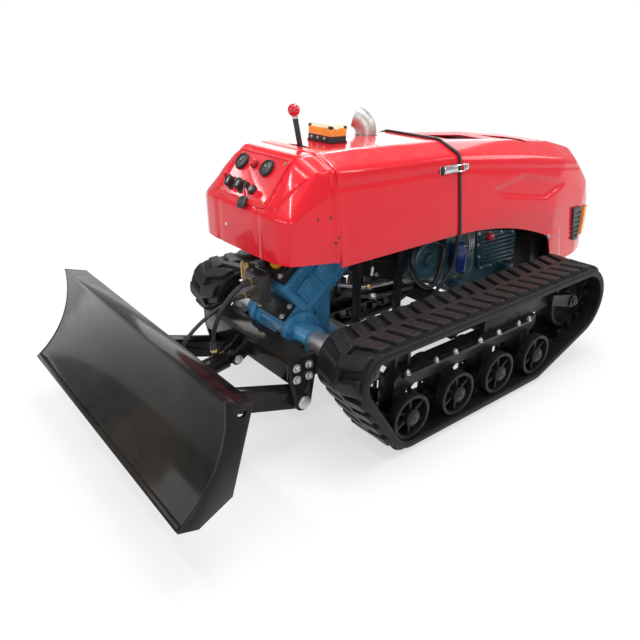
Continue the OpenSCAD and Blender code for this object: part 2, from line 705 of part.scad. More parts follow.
// Front cowl, bowed in plan, with a sloping face for the control panel
cowl_r = 16;
cowl_bow = 22;
cowl_inset = 5;
panel_top_y = cowl_front_y + 142;
panel_foot = [cowl_front_y + cowl_r, panel_low_z - 11];
panel_head = [panel_top_y, bonnet_top - 17];
panel_angle = angle_of(panel_head - panel_foot);
panel_len = norm(panel_head - panel_foot);
module front_cowl() {
    back_y = cowl_seam_y + 85;
    corner_x = bonnet_x - 2 * cowl_r - 2;
    bow_x = corner_x - 34;
    points = [[panel_x, panel_foot.x, 560], [panel_x, panel_foot.x, panel_foot.y],
        [bow_x, panel_foot.x + cowl_bow / 3, 560], [bow_x, panel_foot.x + cowl_bow / 3, panel_foot.y - 2],
        [corner_x, panel_foot.x + cowl_bow, 560], [corner_x + 2, panel_foot.x + cowl_bow, panel_foot.y - 4],
        [panel_x, panel_head.x, panel_head.y], [shoulder_x - 26, panel_head.x + 16, bonnet_top - 53],
        [bonnet_flat_x - 12, back_y, bonnet_z(back_y) - cowl_r - cowl_inset],
        [shoulder_x - cowl_r - cowl_inset, back_y, bonnet_z(back_y) - shoulder_drop - 2],
        [bonnet_x - cowl_r - cowl_inset, back_y, skirt_z + 40], [bonnet_x - cowl_r - cowl_inset, back_y, 560]];
    color("#d8232f") difference() {
        intersection() {
            shell(points, cowl_r);
            box([-400, cowl_front_y - 90, 500], [400, cowl_seam_y - gap, 1000]);
        }
        across(-400, 800) polygon([[cowl_front_y - 90, cowl_low], [cowl_front_y + 25, cowl_low],
            [cowl_seam_y, cowl_low - 24], [cowl_seam_y, 400], [cowl_front_y - 90, 400]]);
    }
}

// Control panel: a plate with two gauges, switches and the key
module on_panel() {
    translate([0, panel_foot.x, panel_foot.y]) rotate([panel_angle, 0, 0]) translate([0, 0, cowl_r + gap]) children();
}
panel_t = 3;
panel_rim = 7;
module control_panel() {
    low = [-panel_x + 4, 14];
    high = [panel_x - 4, panel_len - 10];
    color("#cf2430") on_panel() difference() {
        box([low.x, low.y, 0], [high.x, high.y, panel_t + panel_rim]);
        box([low.x + panel_rim, low.y + panel_rim, panel_t],
            [high.x - panel_rim, high.y - panel_rim, panel_t + panel_rim + 1]);
    }
}
gauge_r = 29;
gauge_xs = [-92, 52];
knob_xs = [-80, -20];
upper_row = 140;
lower_row = 60;
module gauge() {
    rotate_extrude() polygon([[0, 0], [gauge_r, 0], [gauge_r, 9], [gauge_r - 3, 13], [gauge_r - 6, 13],
        [gauge_r - 8, 9], [0, 9]]);
}
module panel_switches() {
    color("#202022") on_panel() translate([0, 0, panel_t + gap]) {
        for (x = gauge_xs) translate([x, upper_row, 0]) gauge();
        translate([-22, upper_row + 2, 0])
            rotate_extrude() polygon([[0, 0], [14, 0], [14, 6], [10, 8], [10, 16], [0, 18]]);
        for (x = knob_xs) translate([x, lower_row, 0])
            rotate_extrude() polygon([[0, 0], [16, 0], [16, 5], [11, 7], [10, 20], [0, 22]]);
        translate([-116, lower_row + 4, 0]) {
            cylinder(r = 9, h = 8);
            translate([0, 0, 7]) rotate([-25, 0, 0]) cylinder(r = 4, h = 26);
        }
        translate([40, lower_row, 0]) {
            cylinder(r = 14, h = 9);
            translate([-2, -11, 8]) cube([4, 22, 26]);
        }
    }
}

slot = [112, 36];
module middle_bonnet() {
    points = concat(section(cowl_seam_y - 100, bonnet_r, 450), section(rear_seam_y + 100, bonnet_r, 450));
    color("#d8232f") difference() {
        intersection() {
            shell(points, bonnet_r);
            box([-400, cowl_seam_y, skirt_z], [400, rear_seam_y - seal_w / 2 - gap, 1100]);
        }
        translate([lever_at.x + 2, lever_at.y + 4, bonnet_top]) cube([slot.x, slot.y, 100], center = true);
        translate([exhaust_at.x, exhaust_at.y, 800]) cylinder(r = exhaust_r + 8, h = 300);
    }
}
lever_at = [8, -397];
lever_r = 8;
knob_r = 20;
knob_z = 1056;
module gear_lever() {
    start = case_top(lever_at.y + lever_r) + gap;
    color("#1d1d1f") translate([lever_at.x, lever_at.y, start]) cylinder(r = lever_r, h = knob_z - start);
    color("#c4242c") translate([lever_at.x, lever_at.y, knob_z]) sphere(r = knob_r);
}
// Flat warning lamp: a base with a bevelled lens
lamp_x = 66;
lamp_y = 40;
lamp_h = 54;
lamp_bevel = 14;
module lamp_outline(half) {
    top = half - lamp_bevel - 4;
    polygon([[-half, 0], [half, 0], [half, lamp_h - lamp_bevel], [top, lamp_h + 1],
        [-top, lamp_h + 1], [-half, lamp_h - lamp_bevel]]);
}
module warning_lamp() {
    color("#e48d2a") on_top(-33, -238) {
        box([-lamp_x, -lamp_y, gap], [lamp_x, lamp_y, 16]);
        intersection() {
            box([-lamp_x + 4, -lamp_y + 4, 15], [lamp_x - 4, lamp_y - 4, lamp_h]);
            across(-lamp_x, 2 * lamp_x) lamp_outline(lamp_y);
            translate([0, lamp_y, 0]) rotate([90, 0, 0]) linear_extrude(2 * lamp_y) lamp_outline(lamp_x);
        }
    }
}
// Exhaust: a silencer on the engine, and a pipe through the bonnet that ends in an elbow
exhaust_at = [-100, 4];
exhaust_r = 38;
elbow_r = 62;
elbow_z = 937;
elbow_turn = 72;
elbow_t = 4;
elbow_heading = -50;
muffler_r = 50;
module elbow(r, turn) {
    translate([exhaust_at.x, exhaust_at.y, elbow_z]) rotate(elbow_heading) translate([0, -elbow_r, 0])
        rotate([90, 0, 90]) rotate_extrude(angle = turn) translate([elbow_r, 0]) circle(r = r);
}
module exhaust_pipe() {
    muffler_z = engine_top + muffler_r + gap;
    color("#c8c9c8") difference() {
        union() {
            translate([exhaust_at.x, exhaust_at.y - 40, muffler_z]) rotate([-90, 0, 0])
                cylinder(r = muffler_r, h = engine_y + 90 - exhaust_at.y);
            translate([exhaust_at.x, exhaust_at.y, muffler_z]) cylinder(r = exhaust_r, h = elbow_z + 4 - muffler_z);
            elbow(exhaust_r + elbow_t / 2, elbow_turn);
        }
        translate([0, 0, 1]) elbow(exhaust_r - elbow_t / 2, elbow_turn + 20);
    }
}

// Hoops that carry the bonnet from the rails
hoop_ys = [-280, -75];
hoop_t = 24;
module bonnet_posts() {
    bar_z = 690;
    color("#232325") both_sides() for (y = hoop_ys) {
        lean = bonnet_lean(y);
        face = shoulder_x + (bonnet_z(y) - shoulder_drop - bar_z - hoop_t) * tan(lean) - skin - 1.2;
        box([rail_x - hoop_t / 2, y, rail_top], [rail_x + hoop_t / 2, y + hoop_t, bar_z + hoop_t]);
        box([rail_x, y, bar_z], [face, y + hoop_t, bar_z + hoop_t]);
    }
}

// Rear bonnet: falls to a blunt nose, with an arch over the track and engine, hinged behind the rails
nose_y = rail_end + nose_overhang;
rear_r = 24;
rear_low = 322;
wall_a = [bonnet_x - rear_r, 775];
corner_a = [204, nose_y - 139];
corner_b = [172, nose_y - 47];
rear_points = concat(section(rear_seam_y - 80, rear_r, 280), [
    [bonnet_flat_x - 20, 575, 863], [shoulder_x - rear_r, 575, 815],
    [bonnet_flat_x - 24, 864, 826], [shoulder_x - rear_r - 8, 864, 772],
    [wall_a.x, wall_a.y, 600], [wall_a.x, wall_a.y, 280],
    [120, nose_y - 179, 786], [186, nose_y - 219, 752],
    [120, nose_y - 97, 724], [182, nose_y - 98, 650],
    [corner_a.x, corner_a.y, 600], [corner_a.x, corner_a.y, 280],
    [118, nose_y - 46, 640], [110, nose_y - rear_r, 545], [110, nose_y - rear_r, 280],
    [corner_b.x, corner_b.y, 560], [corner_b.x, corner_b.y, 280]]);
hinge = [rail_end + 35, 305];
hinge_x = 132;
tab_t = 10;
hinge_pin_r = 8;
arch_y = 740;
arch_drop = 115;
arch_steps = 8;
leg_foot = [800, 360];
leaf_depth = 2;
// Lower edge of the side: a parabola from the seam to the leg
function arch_z(y) = skirt_z - 2 - arch_drop * pow((y - rear_seam_y) / (arch_y - rear_seam_y), 2);
module arch() {
    step = (arch_y - rear_seam_y) / arch_steps;
    curve = [for (k = [0:arch_steps]) let (y = rear_seam_y + k * step) [y, arch_z(y)]];
    across(-400, 800) polygon(concat(curve,
        [[arch_y + 16, arch_z(arch_y) - 16], leg_foot, [leg_foot.x, 200], [0, 200], [0, skirt_z - 2]]));
}
// Long leaf pressed into the side of the bonnet
module leaf() {
    difference() {
        across(150, 200) polygon([[364, 735], [410, 703], [703, 650], [872, 689], [564, 758]]);
        ball_hull(rear_points, rear_r - leaf_depth);
    }
}
module air_opening(y, w, len, skew) {
    translate([0, y, 700]) linear_extrude(400)
        polygon([[-w / 2, 0], [w / 2, -8], [w / 2 + skew, len - 8], [-w / 2 + skew, len]]);
}
module rear_bonnet() {
    color("#d8232f") difference() {
        union() {
            intersection() {
                shell(rear_points, rear_r);
                box([-400, rear_seam_y + seal_w / 2 + gap, rear_low], [400, nose_y + 100, 1100]);
            }
            both_sides() across(hinge_x, tab_t) {
                translate(hinge) circle(r = 16);
                polygon([[hinge.x - 16, hinge.y], [nose_y - 52, rear_low + 70], [nose_y - skin + 1, rear_low + 70],
                         [nose_y - skin + 1, rear_low + 4], [hinge.x + 16, hinge.y]]);
            }
        }
        arch();
        both_sides() crossbar(hinge_x - 1, hinge.x, hinge.y, tab_t + 2, hinge_pin_r + 0.05);
        both_sides() leaf();
        translate([20, 0, 0]) air_opening(262, 130, 190, 25);
        translate([57, 0, 0]) air_opening(552, 126, 140, 30);
    }
}
module bonnet_hinge() {
    plate_x = hinge_x + tab_t + 1;
    color("#4a4b4d") both_sides() {
        across(plate_x, 12) {
            translate(hinge) circle(r = 18);
            polygon([[rail_end + gap, rail_top - rail_h], [rail_end + gap, rail_top], [hinge.x - 14, hinge.y + 10],
                     [hinge.x + 17, hinge.y - 4], [hinge.x + 4, rail_top - rail_h]]);
        }
        box([plate_x, rail_end + gap, rail_top - rail_h], [rail_x + rail_w / 2, rail_end + 12, rail_top]);
        crossbar(hinge_x - 6, hinge.x, hinge.y, plate_x + 6 - hinge_x, hinge_pin_r);
    }
}

// Lamps and louvred vents on the corners of the rear bonnet
module on_wall(p, q, r) {
    d = q - p;
    a = atan2(-d.x, d.y);
    translate([p.x + r * cos(a), p.y + r * sin(a), 0]) rotate(a) children();
}
module rear_lamps() {
    color("#e07b1d") both_sides() on_wall(corner_a, corner_b, rear_r)
        across(gap, 12) polygon([[22, 540], [74, 540], [80, 530], [80, 412], [74, 404], [30, 404]]);
}
vent_slats = 6;
vent_pitch = 22;
slat_h = 10;
vent_edge = norm(corner_a - wall_a) - 7;
vent_low = 392;
module side_vents() {
    color("#3c3c3d") both_sides() on_wall(wall_a, corner_a, rear_r) difference() {
        across(gap, 10) polygon([[vent_edge - 104, vent_low + 170], [vent_edge - 6, vent_low + 160],
            [vent_edge, vent_low], [vent_edge - 52, vent_low + 8]]);
        for (k = [0:vent_slats - 1]) {
            near = [vent_edge - 70 - k * 2, vent_low + 26 + k * vent_pitch];
            far = [vent_edge - 12, vent_low + 20 + k * vent_pitch];
            across(5, 10) polygon([near, far, far + [0, slat_h], near + [0, slat_h]]);
        }
    }
}

// Rubber seal between the bonnets, and the toggle latches that close on it
seal_w = 8;
seal_proud = 3;
module bonnet_seal() {
    centres = concat(section(rear_seam_y - 50, rear_r, 450), section(rear_seam_y + 50, rear_r, 450));
    color("#1a1a1b") intersection() {
        difference() {
            ball_hull(centres, rear_r + seal_proud);
            ball_hull(centres, rear_r - 10);
        }
        box([-400, rear_seam_y - seal_w / 2, skirt_z], [400, rear_seam_y + seal_w / 2, 1100]);
    }
}
latch_len = 100;
latch_z = 842;
module latches() {
    half = latch_len / 2;
    color("#c9cacc") both_sides() on_side(rear_seam_y - seal_w / 2 - 3 - half, latch_z) {
        across(0.6, 5) polygon([[-half, -12], [half, -16], [half, 16], [-half, 12]]);
        across(5, 7) polygon([[-half + 10, -6], [half - 8, -10], [half - 8, 10], [-half + 10, 6]]);
    }
}

// Blade, drawn with its arms level and its pivot at 0, 0, then lifted to the carry angle
module carried() {
    translate([0, pivot.x, pivot.y]) rotate([-carry_angle, 0, 0]) children();
}
blade_low = -170;
blade_high = blade_low + blade_h;
// The curved face passes through the front of the top plate and the tip of the cutting edge
lip = [-527.5, blade_high];
tip = [-583.4, blade_low];
chord = norm(lip - tip);
face_mid = (lip + tip) / 2 + sqrt(blade_r * blade_r - chord * chord / 4) * left_of((lip - tip) / chord);
top_plate_t = 8;
lip_trim = 33;
edge_t = 14;
edge_back = tip.x + 59;
stiffener_d = 50;
stiffener_low = -30;
stiffener_high = 40;
stiffener_front = face_mid.x + blade_r + blade_t + 8;
stiffener_back = stiffener_front + stiffener_d;
rib_back = stiffener_back - 6;
rib_knee = -92;
module face_cut() { translate(face_mid) circle(r = blade_r, $fn = 128); }
module end_outline() {
    difference() {
        polygon([[rib_back, blade_high], [lip.x - lip_trim, blade_high], tip + [-2, 0], [edge_back, blade_low],
            [rib_back + 3, rib_knee]]);
        face_cut();
    }
}
module moldboard() {
    inner_x = blade_w / 2 - blade_end_t;
    color("#1c1c1e") carried() across(-inner_x, 2 * inner_x) difference() {
        union() {
            intersection() {
                translate(face_mid) circle(r = blade_r + blade_t, $fn = 128);
                translate([tip.x - 40, blade_low + edge_t + gap]) square([200, blade_h - edge_t - gap]);
            }
            translate([lip.x - lip_trim, blade_high - top_plate_t]) square([rib_back - lip.x + lip_trim, top_plate_t]);
        }
        face_cut();
    }
}
module cutting_edge() {
    inner_x = blade_w / 2 - blade_end_t - gap;
    color("#2a2a2c") carried() across(-inner_x, 2 * inner_x)
        polygon([[edge_back, blade_low], tip + [-1.6, 0], tip + [5.4, edge_t], [edge_back, blade_low + edge_t]]);
}
lashing_in = [54.5, 31];
lashing_r = 12;
module blade_ends() {
    color("#1c1c1e") carried() both_sides() difference() {
        across(blade_w / 2 - blade_end_t, blade_end_t) end_outline();
        crossbar(blade_w / 2 - 30, lip.x + lashing_in.x, lip.y - lashing_in.y, 60, lashing_r);
    }
}
rib_t = 10;
clevis_x = 20;
eye = [stiffener_back + 45, -80];
clevis_r = 26;
module blade_back() {
    inner_x = blade_w / 2 - blade_end_t;
    rib_high = blade_high - top_plate_t - gap;
    rib_low = blade_low + edge_t + gap;
    pin_x = clevis_x + rib_t + 6;
    color("#1c1c1e") carried() {
        box([-inner_x, stiffener_front, stiffener_low], [inner_x, stiffener_back, stiffener_high]);
        both_sides() for (x = [clevis_x, arm_outer_x - arm_w, arm_outer_x - rib_t])
            across(x, rib_t) difference() {
                polygon([[rib_back, rib_high], [lip.x, rib_high], [tip.x + 23, rib_low], [edge_back, rib_low],
                         [rib_back + 3, rib_knee]]);
                translate(face_mid) circle(r = blade_r + blade_t + gap, $fn = 128);
            }
        both_sides() across(clevis_x, rib_t) union() {
            translate(eye) circle(r = clevis_r);
            polygon([[eye.x, eye.y + clevis_r], [rib_back + 1, stiffener_high - 20], [rib_back + 1, rib_knee + 2],
                     [eye.x, eye.y - clevis_r]]);
        }
    }
    color("#8b8c90") carried() crossbar(-pin_x, eye.x, eye.y, 2 * pin_x, cylinder_pin_r);
}
module push_arms() {
    reach = stiffener_back + gap;
    color("#1c1c1e") carried() both_sides() difference() {
        across(arm_outer_x - arm_w, arm_w) union() {
            circle(r = arm_h / 2);
            polygon([[0, arm_h / 2], [reach, arm_h / 2], [reach, -arm_h / 2], [0, -arm_h / 2]]);
        }
        crossbar(0, 0, 0, 400, pivot_pin_r + 0.05);
    }
}

// Lift cylinder between the front beam and the blade
eye_open_r = cylinder_pin_r + 8.5;
eye_at = [pivot.x + eye.x * cos(carry_angle) + eye.y * sin(carry_angle),
          pivot.y - eye.x * sin(carry_angle) + eye.y * cos(carry_angle)];
cylinder_angle = angle_of(cylinder_foot - eye_at);
cylinder_len = norm(eye_at - cylinder_foot);
module along_cylinder() {
    translate([0, cylinder_foot.x, cylinder_foot.y]) rotate([90 + cylinder_angle, 0, 0]) children();
}
neck = 30;
port_r = 11;
port_h = 15.8;
port_base = 62;
port_rod = barrel_len - 22;
module lift_barrel() {
    color("#262628") along_cylinder() difference() {
        union() {
            crossbar(-barrel_eye_w / 2, 0, 0, barrel_eye_w, 20);
            box([-barrel_eye_w / 2, -16, 0], [barrel_eye_w / 2, 16, neck + 2]);
            translate([0, 0, neck]) cylinder(r = barrel_r, h = barrel_len - neck);
            for (z = [port_base, port_rod])
                translate([0, barrel_r - 4, z]) rotate([-90, 0, 0]) cylinder(r = port_r, h = port_h + 4);
        }
        crossbar(-40, 0, 0, 80, cylinder_pin_r + 0.05);
        translate([0, 0, neck + 15]) cylinder(r = rod_r + gap, h = barrel_len);
    }
}
module lift_rod() {
    color("#b9bbbd") along_cylinder() difference() {
        union() {
            translate([0, 0, 90]) cylinder(r = rod_r, h = cylinder_len - 90 - eye_open_r - 4);
            crossbar(-18, 0, cylinder_len, 36, eye_open_r + 9);
        }
        crossbar(-40, 0, cylinder_len, 80, eye_open_r);
    }
}

// Hydraulic hoses from the ports of the lift cylinder to the control valve
base_route = [[0, -752, 296], [0, -754.5, 311.8], [0.3, -755.9, 328.8], [1.1, -755, 346.8],
    [2.3, -752.1, 365.3], [3.9, -747.2, 384.1], [5.7, -740.6, 402.9], [7.7, -732.3, 421.4],
    [9.9, -722.7, 439.2], [12.1, -711.7, 456.1], [14.3, -699.6, 471.7], [16.3, -686.6, 485.8],
    [18.1, -672.8, 498], [19.7, -658.4, 508], [20.9, -643.5, 515.6], [21.7, -628.3, 520.3],
    [22, -613, 522], [22, -605, 522]];
rod_route = [[0, -881, 276], [0, -883.5, 291.8], [-1.6, -883.9, 305.7], [-3.2, -880.9, 319.5],
    [-4.9, -874.9, 333.1], [-6.5, -866.1, 346.4], [-8.2, -854.8, 359.4], [-9.9, -841.4, 371.9],
    [-11.5, -826, 384], [-13, -809, 395.4], [-14.5, -790.6, 406.2], [-15.9, -771.2, 416.1],
    [-17.2, -751.1, 425.3], [-18.4, -730.5, 433.4], [-19.4, -709.7, 440.6], [-20.3, -689, 446.6],
    [-21, -668.7, 451.5], [-21.6, -649, 455], [-21.9, -630.4, 457.2], [-22, -613, 458],
    [-22, -605, 458]];
hose_sides = 10;
function unit(v) = v / norm(v);
function heading(route, i) = unit(route[min(i + 1, len(route) - 1)] - route[max(i - 1, 0)]);
function ring(route, i, r) =
    let (t = heading(route, i), u = unit(cross(t, [1, 0, 0])), v = cross(t, u))
    [for (k = [0:hose_sides - 1]) route[i] + r * (cos(k * 360 / hose_sides) * u + sin(k * 360 / hose_sides) * v)];
module hose(route, r) {
    n = hose_sides;
    last = len(route) - 1;
    polyhedron([for (i = [0:last]) each ring(route, i, r)],
        concat([[for (k = [0:n - 1]) k]], [[for (k = [n - 1:-1:0]) last * n + k]],
            [for (i = [0:last - 1], k = [0:n - 1])
                [i * n + k, (i + 1) * n + k, (i + 1) * n + (k + 1) % n, i * n + (k + 1) % n]]));
}
module hose_base() { color("#151516") hose(base_route, base_hose_r); }
module hose_rod() { color("#151516") hose(rod_route, rod_hose_r); }

frame_rails();
front_beam();
pivot_plates();
pivot_pins();
gearbox();
gearbox_covers();
axle_housings();
final_shafts();
sprockets();
track_left();
track_right();
track_frame_left();
track_frame_right();
road_wheels_left();
road_wheels_right();
idlers();
tensioners();
engine_block();
engine_cover();
oil_filter();
belt_guard();
radiator();
hydraulic_tank();
filler_cap();
control_valve();
linkage_rods();
pto_cover();
front_cowl();
control_panel();
panel_switches();
middle_bonnet();
gear_lever();
warning_lamp();
exhaust_pipe();
bonnet_seal();
latches();
rear_bonnet();
rear_lamps();
side_vents();
bonnet_posts();
bonnet_hinge();
moldboard();
cutting_edge();
blade_ends();
blade_back();
push_arms();
lift_barrel();
lift_rod();
hose_base();
hose_rod();
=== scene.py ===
import math
import bmesh
import bpy
import numpy as np
from mathutils import Matrix, Vector
from mathutils.bvhtree import BVHTree


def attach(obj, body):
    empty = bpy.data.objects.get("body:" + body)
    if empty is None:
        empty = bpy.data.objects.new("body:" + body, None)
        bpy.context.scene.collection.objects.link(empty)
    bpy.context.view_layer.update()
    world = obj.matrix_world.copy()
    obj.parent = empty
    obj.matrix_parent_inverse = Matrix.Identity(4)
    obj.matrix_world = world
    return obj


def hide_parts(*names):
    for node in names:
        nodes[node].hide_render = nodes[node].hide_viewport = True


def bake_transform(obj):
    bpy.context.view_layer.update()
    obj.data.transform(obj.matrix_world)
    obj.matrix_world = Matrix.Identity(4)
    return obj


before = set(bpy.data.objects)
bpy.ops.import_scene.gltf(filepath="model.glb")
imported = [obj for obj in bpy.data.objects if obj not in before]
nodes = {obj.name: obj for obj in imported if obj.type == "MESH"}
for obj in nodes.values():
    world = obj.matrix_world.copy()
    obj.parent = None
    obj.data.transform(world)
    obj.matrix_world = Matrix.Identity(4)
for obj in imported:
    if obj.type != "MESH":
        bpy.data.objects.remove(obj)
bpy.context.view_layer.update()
scene = bpy.context.scene
print("stage 1: frame loaded,", len(nodes), "solids")


# Camera at the photograph's viewpoint
view = {"place": (1.677, -1.624, 1.290), "azimuth": 51.6, "elevation": 25.26,
        "lens": 34.70, "sensor": 36, "reach": 200}


def linked(name, data):
    obj = bpy.data.objects.new(name, data)
    scene.collection.objects.link(obj)
    return obj


def placeCamera():
    azimuth, elevation = math.radians(view["azimuth"]), math.radians(view["elevation"])
    ahead = Vector((-math.sin(azimuth) * math.cos(elevation),
                    math.cos(azimuth) * math.cos(elevation), -math.sin(elevation)))
    data = bpy.data.cameras.new("camera")
    data.lens = view["lens"]
    data.sensor_width = view["sensor"]
    data.clip_end = view["reach"]
    scene.camera = linked("camera", data)
    scene.camera.location = view["place"]
    scene.camera.rotation_euler = ahead.to_track_quat("-Z", "Y").to_euler()


placeCamera()


# Mesh helpers: objects are in metres, and small pieces are given in millimetres
def meshObject(name, verts, faces, smooth=True):
    mesh = bpy.data.meshes.new(name)
    mesh.from_pydata([tuple(v) for v in verts], [], faces)
    mesh.validate()
    mesh.update()
    if smooth:
        mesh.shade_smooth()
    return linked(name, mesh)


def modify(obj, kind, **values):
    modifier = obj.modifiers.new(kind.lower(), kind)
    for key, value in values.items():
        setattr(modifier, key, value)
    return modifier


def setInputs(node, values):
    for key, value in values.items():
        node.inputs[key].default_value = value


def applyAll(obj):
    bpy.context.view_layer.update()
    mesh = bpy.data.meshes.new_from_object(obj.evaluated_get(bpy.context.evaluated_depsgraph_get()))
    old = obj.data
    obj.modifiers.clear()
    obj.data = mesh
    bpy.data.meshes.remove(old)


def outward(obj):
    mesh = bmesh.new()
    mesh.from_mesh(obj.data)
    bmesh.ops.recalc_face_normals(mesh, faces=mesh.faces)
    mesh.to_mesh(obj.data)
    mesh.free()


def mm(*v):
    return Vector(v) / 1000


def moved(*v):
    return Matrix.Translation(mm(*v))


def turned(degrees, axis):
    return Matrix.Rotation(math.radians(degrees), 4, axis)


def aim(place, direction, turn=0):
    facing = Vector(direction).to_track_quat("Z", "Y").to_matrix().to_4x4()
    return Matrix.Translation(place) @ facing @ Matrix.Rotation(turn, 4, "Z")


def heap():
    return {"verts": [], "faces": [], "mats": []}


def addTo(pile, verts, faces, mat=0):
    first = len(pile["verts"])
    pile["verts"].extend(verts)
    pile["faces"].extend([tuple(first + i for i in f) for f in faces])
    pile["mats"].extend([mat] * len(faces))


def heapObject(pile, name, looks, body, limit=32, node=None):
    obj = meshObject(name, pile["verts"], pile["faces"])
    for look in looks:
        obj.data.materials.append(finish(look))
    obj.data.polygons.foreach_set("material_index", pile["mats"])
    outward(obj)
    roundByAngle(obj, limit)
    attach(obj, body)
    if node:
        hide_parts(node)
    return obj


def ringFaces(rings, sides, closedLow=True):
    faces = []
    for i in range(rings - 1):
        for k in range(sides):
            n = (k + 1) % sides
            faces.append((i * sides + k, i * sides + n, (i + 1) * sides + n, (i + 1) * sides + k))
    if closedLow:
        faces.append(tuple(range(sides - 1, -1, -1)))
    faces.append(tuple((rings - 1) * sides + k for k in range(sides)))
    return faces


def circle(count):
    return [2 * math.pi * k / count for k in range(count)]


def addLathe(pile, spot, profile, mat=0, sides=20):
    # a profile of radii and heights turned round the spot's own axis
    verts = [spot @ mm(r * math.cos(a), r * math.sin(a), h) for r, h in profile for a in circle(sides)]
    addTo(pile, verts, ringFaces(len(profile), sides), mat)


def tube(points, radius, sides):
    # the radius is a function of the share of the way along
    verts = []
    last = len(points) - 1
    normal = None
    for i, p in enumerate(points):
        ahead = (points[min(i + 1, last)] - points[max(i - 1, 0)]).normalized()
        normal = ahead.orthogonal() if normal is None else normal - ahead * normal.dot(ahead)
        normal.normalize()
        other = ahead.cross(normal)
        r = radius(i / last)
        verts += [p + r * (math.cos(a) * normal + math.sin(a) * other) for a in circle(sides)]
    return verts, ringFaces(len(points), sides)


def smoothPath(pts, steps):
    out = []
    for i in range(len(pts) - 1):
        a, b, c, d = pts[max(i - 1, 0)], pts[i], pts[i + 1], pts[min(i + 2, len(pts) - 1)]
        for k in range(steps):
            t = k / steps
            out.append(0.5 * (2 * b + (c - a) * t + (2 * a - 5 * b + 4 * c - d) * t * t
                              + (3 * b - 3 * c + d - a) * t ** 3))
    return out + [pts[-1]]


def addTube(pile, points, r, sides, mat=0, steps=6, spot=Matrix()):
    path = smoothPath([spot @ mm(*p) for p in points], steps)
    addTo(pile, *tube(path, lambda t: (r(t) if callable(r) else r) / 1000, sides), mat)


def roundedRect(halfW, halfH, r, perCorner):
    loop = []
    for cx, cy, start in ((1, 1, 0), (-1, 1, 90), (-1, -1, 180), (1, -1, 270)):
        for k in range(perCorner + 1):
            a = math.radians(start + 90 * k / perCorner)
            loop.append((cx * (halfW - r) + r * math.cos(a), cy * (halfH - r) + r * math.sin(a)))
    return loop


def addStack(pile, spot, size, steps, mat=0, perCorner=6):
    # loops of a rounded rectangle, each step an inset and a height, closed top and bottom
    halfW, halfH, r = size
    verts = []
    for inset, height in steps:
        loop = roundedRect(halfW - inset, halfH - inset, max(r - inset, 0.8), perCorner)
        verts += [spot @ mm(x, y, height) for x, y in loop]
    addTo(pile, verts, ringFaces(len(steps), 4 * (perCorner + 1)), mat)


def roundGroup():
    group = bpy.data.node_groups.new("roundByAngle", "GeometryNodeTree")
    make, link = group.nodes.new, group.links.new
    group.interface.new_socket("Geometry", in_out="INPUT", socket_type="NodeSocketGeometry")
    group.interface.new_socket("Limit", in_out="INPUT", socket_type="NodeSocketFloat")
    group.interface.new_socket("Geometry", in_out="OUTPUT", socket_type="NodeSocketGeometry")
    start, end = make("NodeGroupInput"), make("NodeGroupOutput")
    faces, edges = make("GeometryNodeSetShadeSmooth"), make("GeometryNodeSetShadeSmooth")
    edges.domain = "EDGE"
    edges.inputs["Shade Smooth"].default_value = False
    angle, more = make("GeometryNodeInputMeshEdgeAngle"), make("FunctionNodeCompare")
    link(angle.outputs["Unsigned Angle"], more.inputs[0])
    link(start.outputs["Limit"], more.inputs[1])
    link(start.outputs["Geometry"], faces.inputs["Geometry"])
    link(faces.outputs["Geometry"], edges.inputs["Geometry"])
    link(more.outputs["Result"], edges.inputs["Selection"])
    link(edges.outputs["Geometry"], end.inputs["Geometry"])
    return group


angleGroup = roundGroup()


def roundByAngle(obj, degrees):
    modifier = modify(obj, "NODES", node_group=angleGroup)
    key = [i.identifier for i in angleGroup.interface.items_tree if i.name == "Limit"][0]
    modifier[key] = math.radians(degrees)


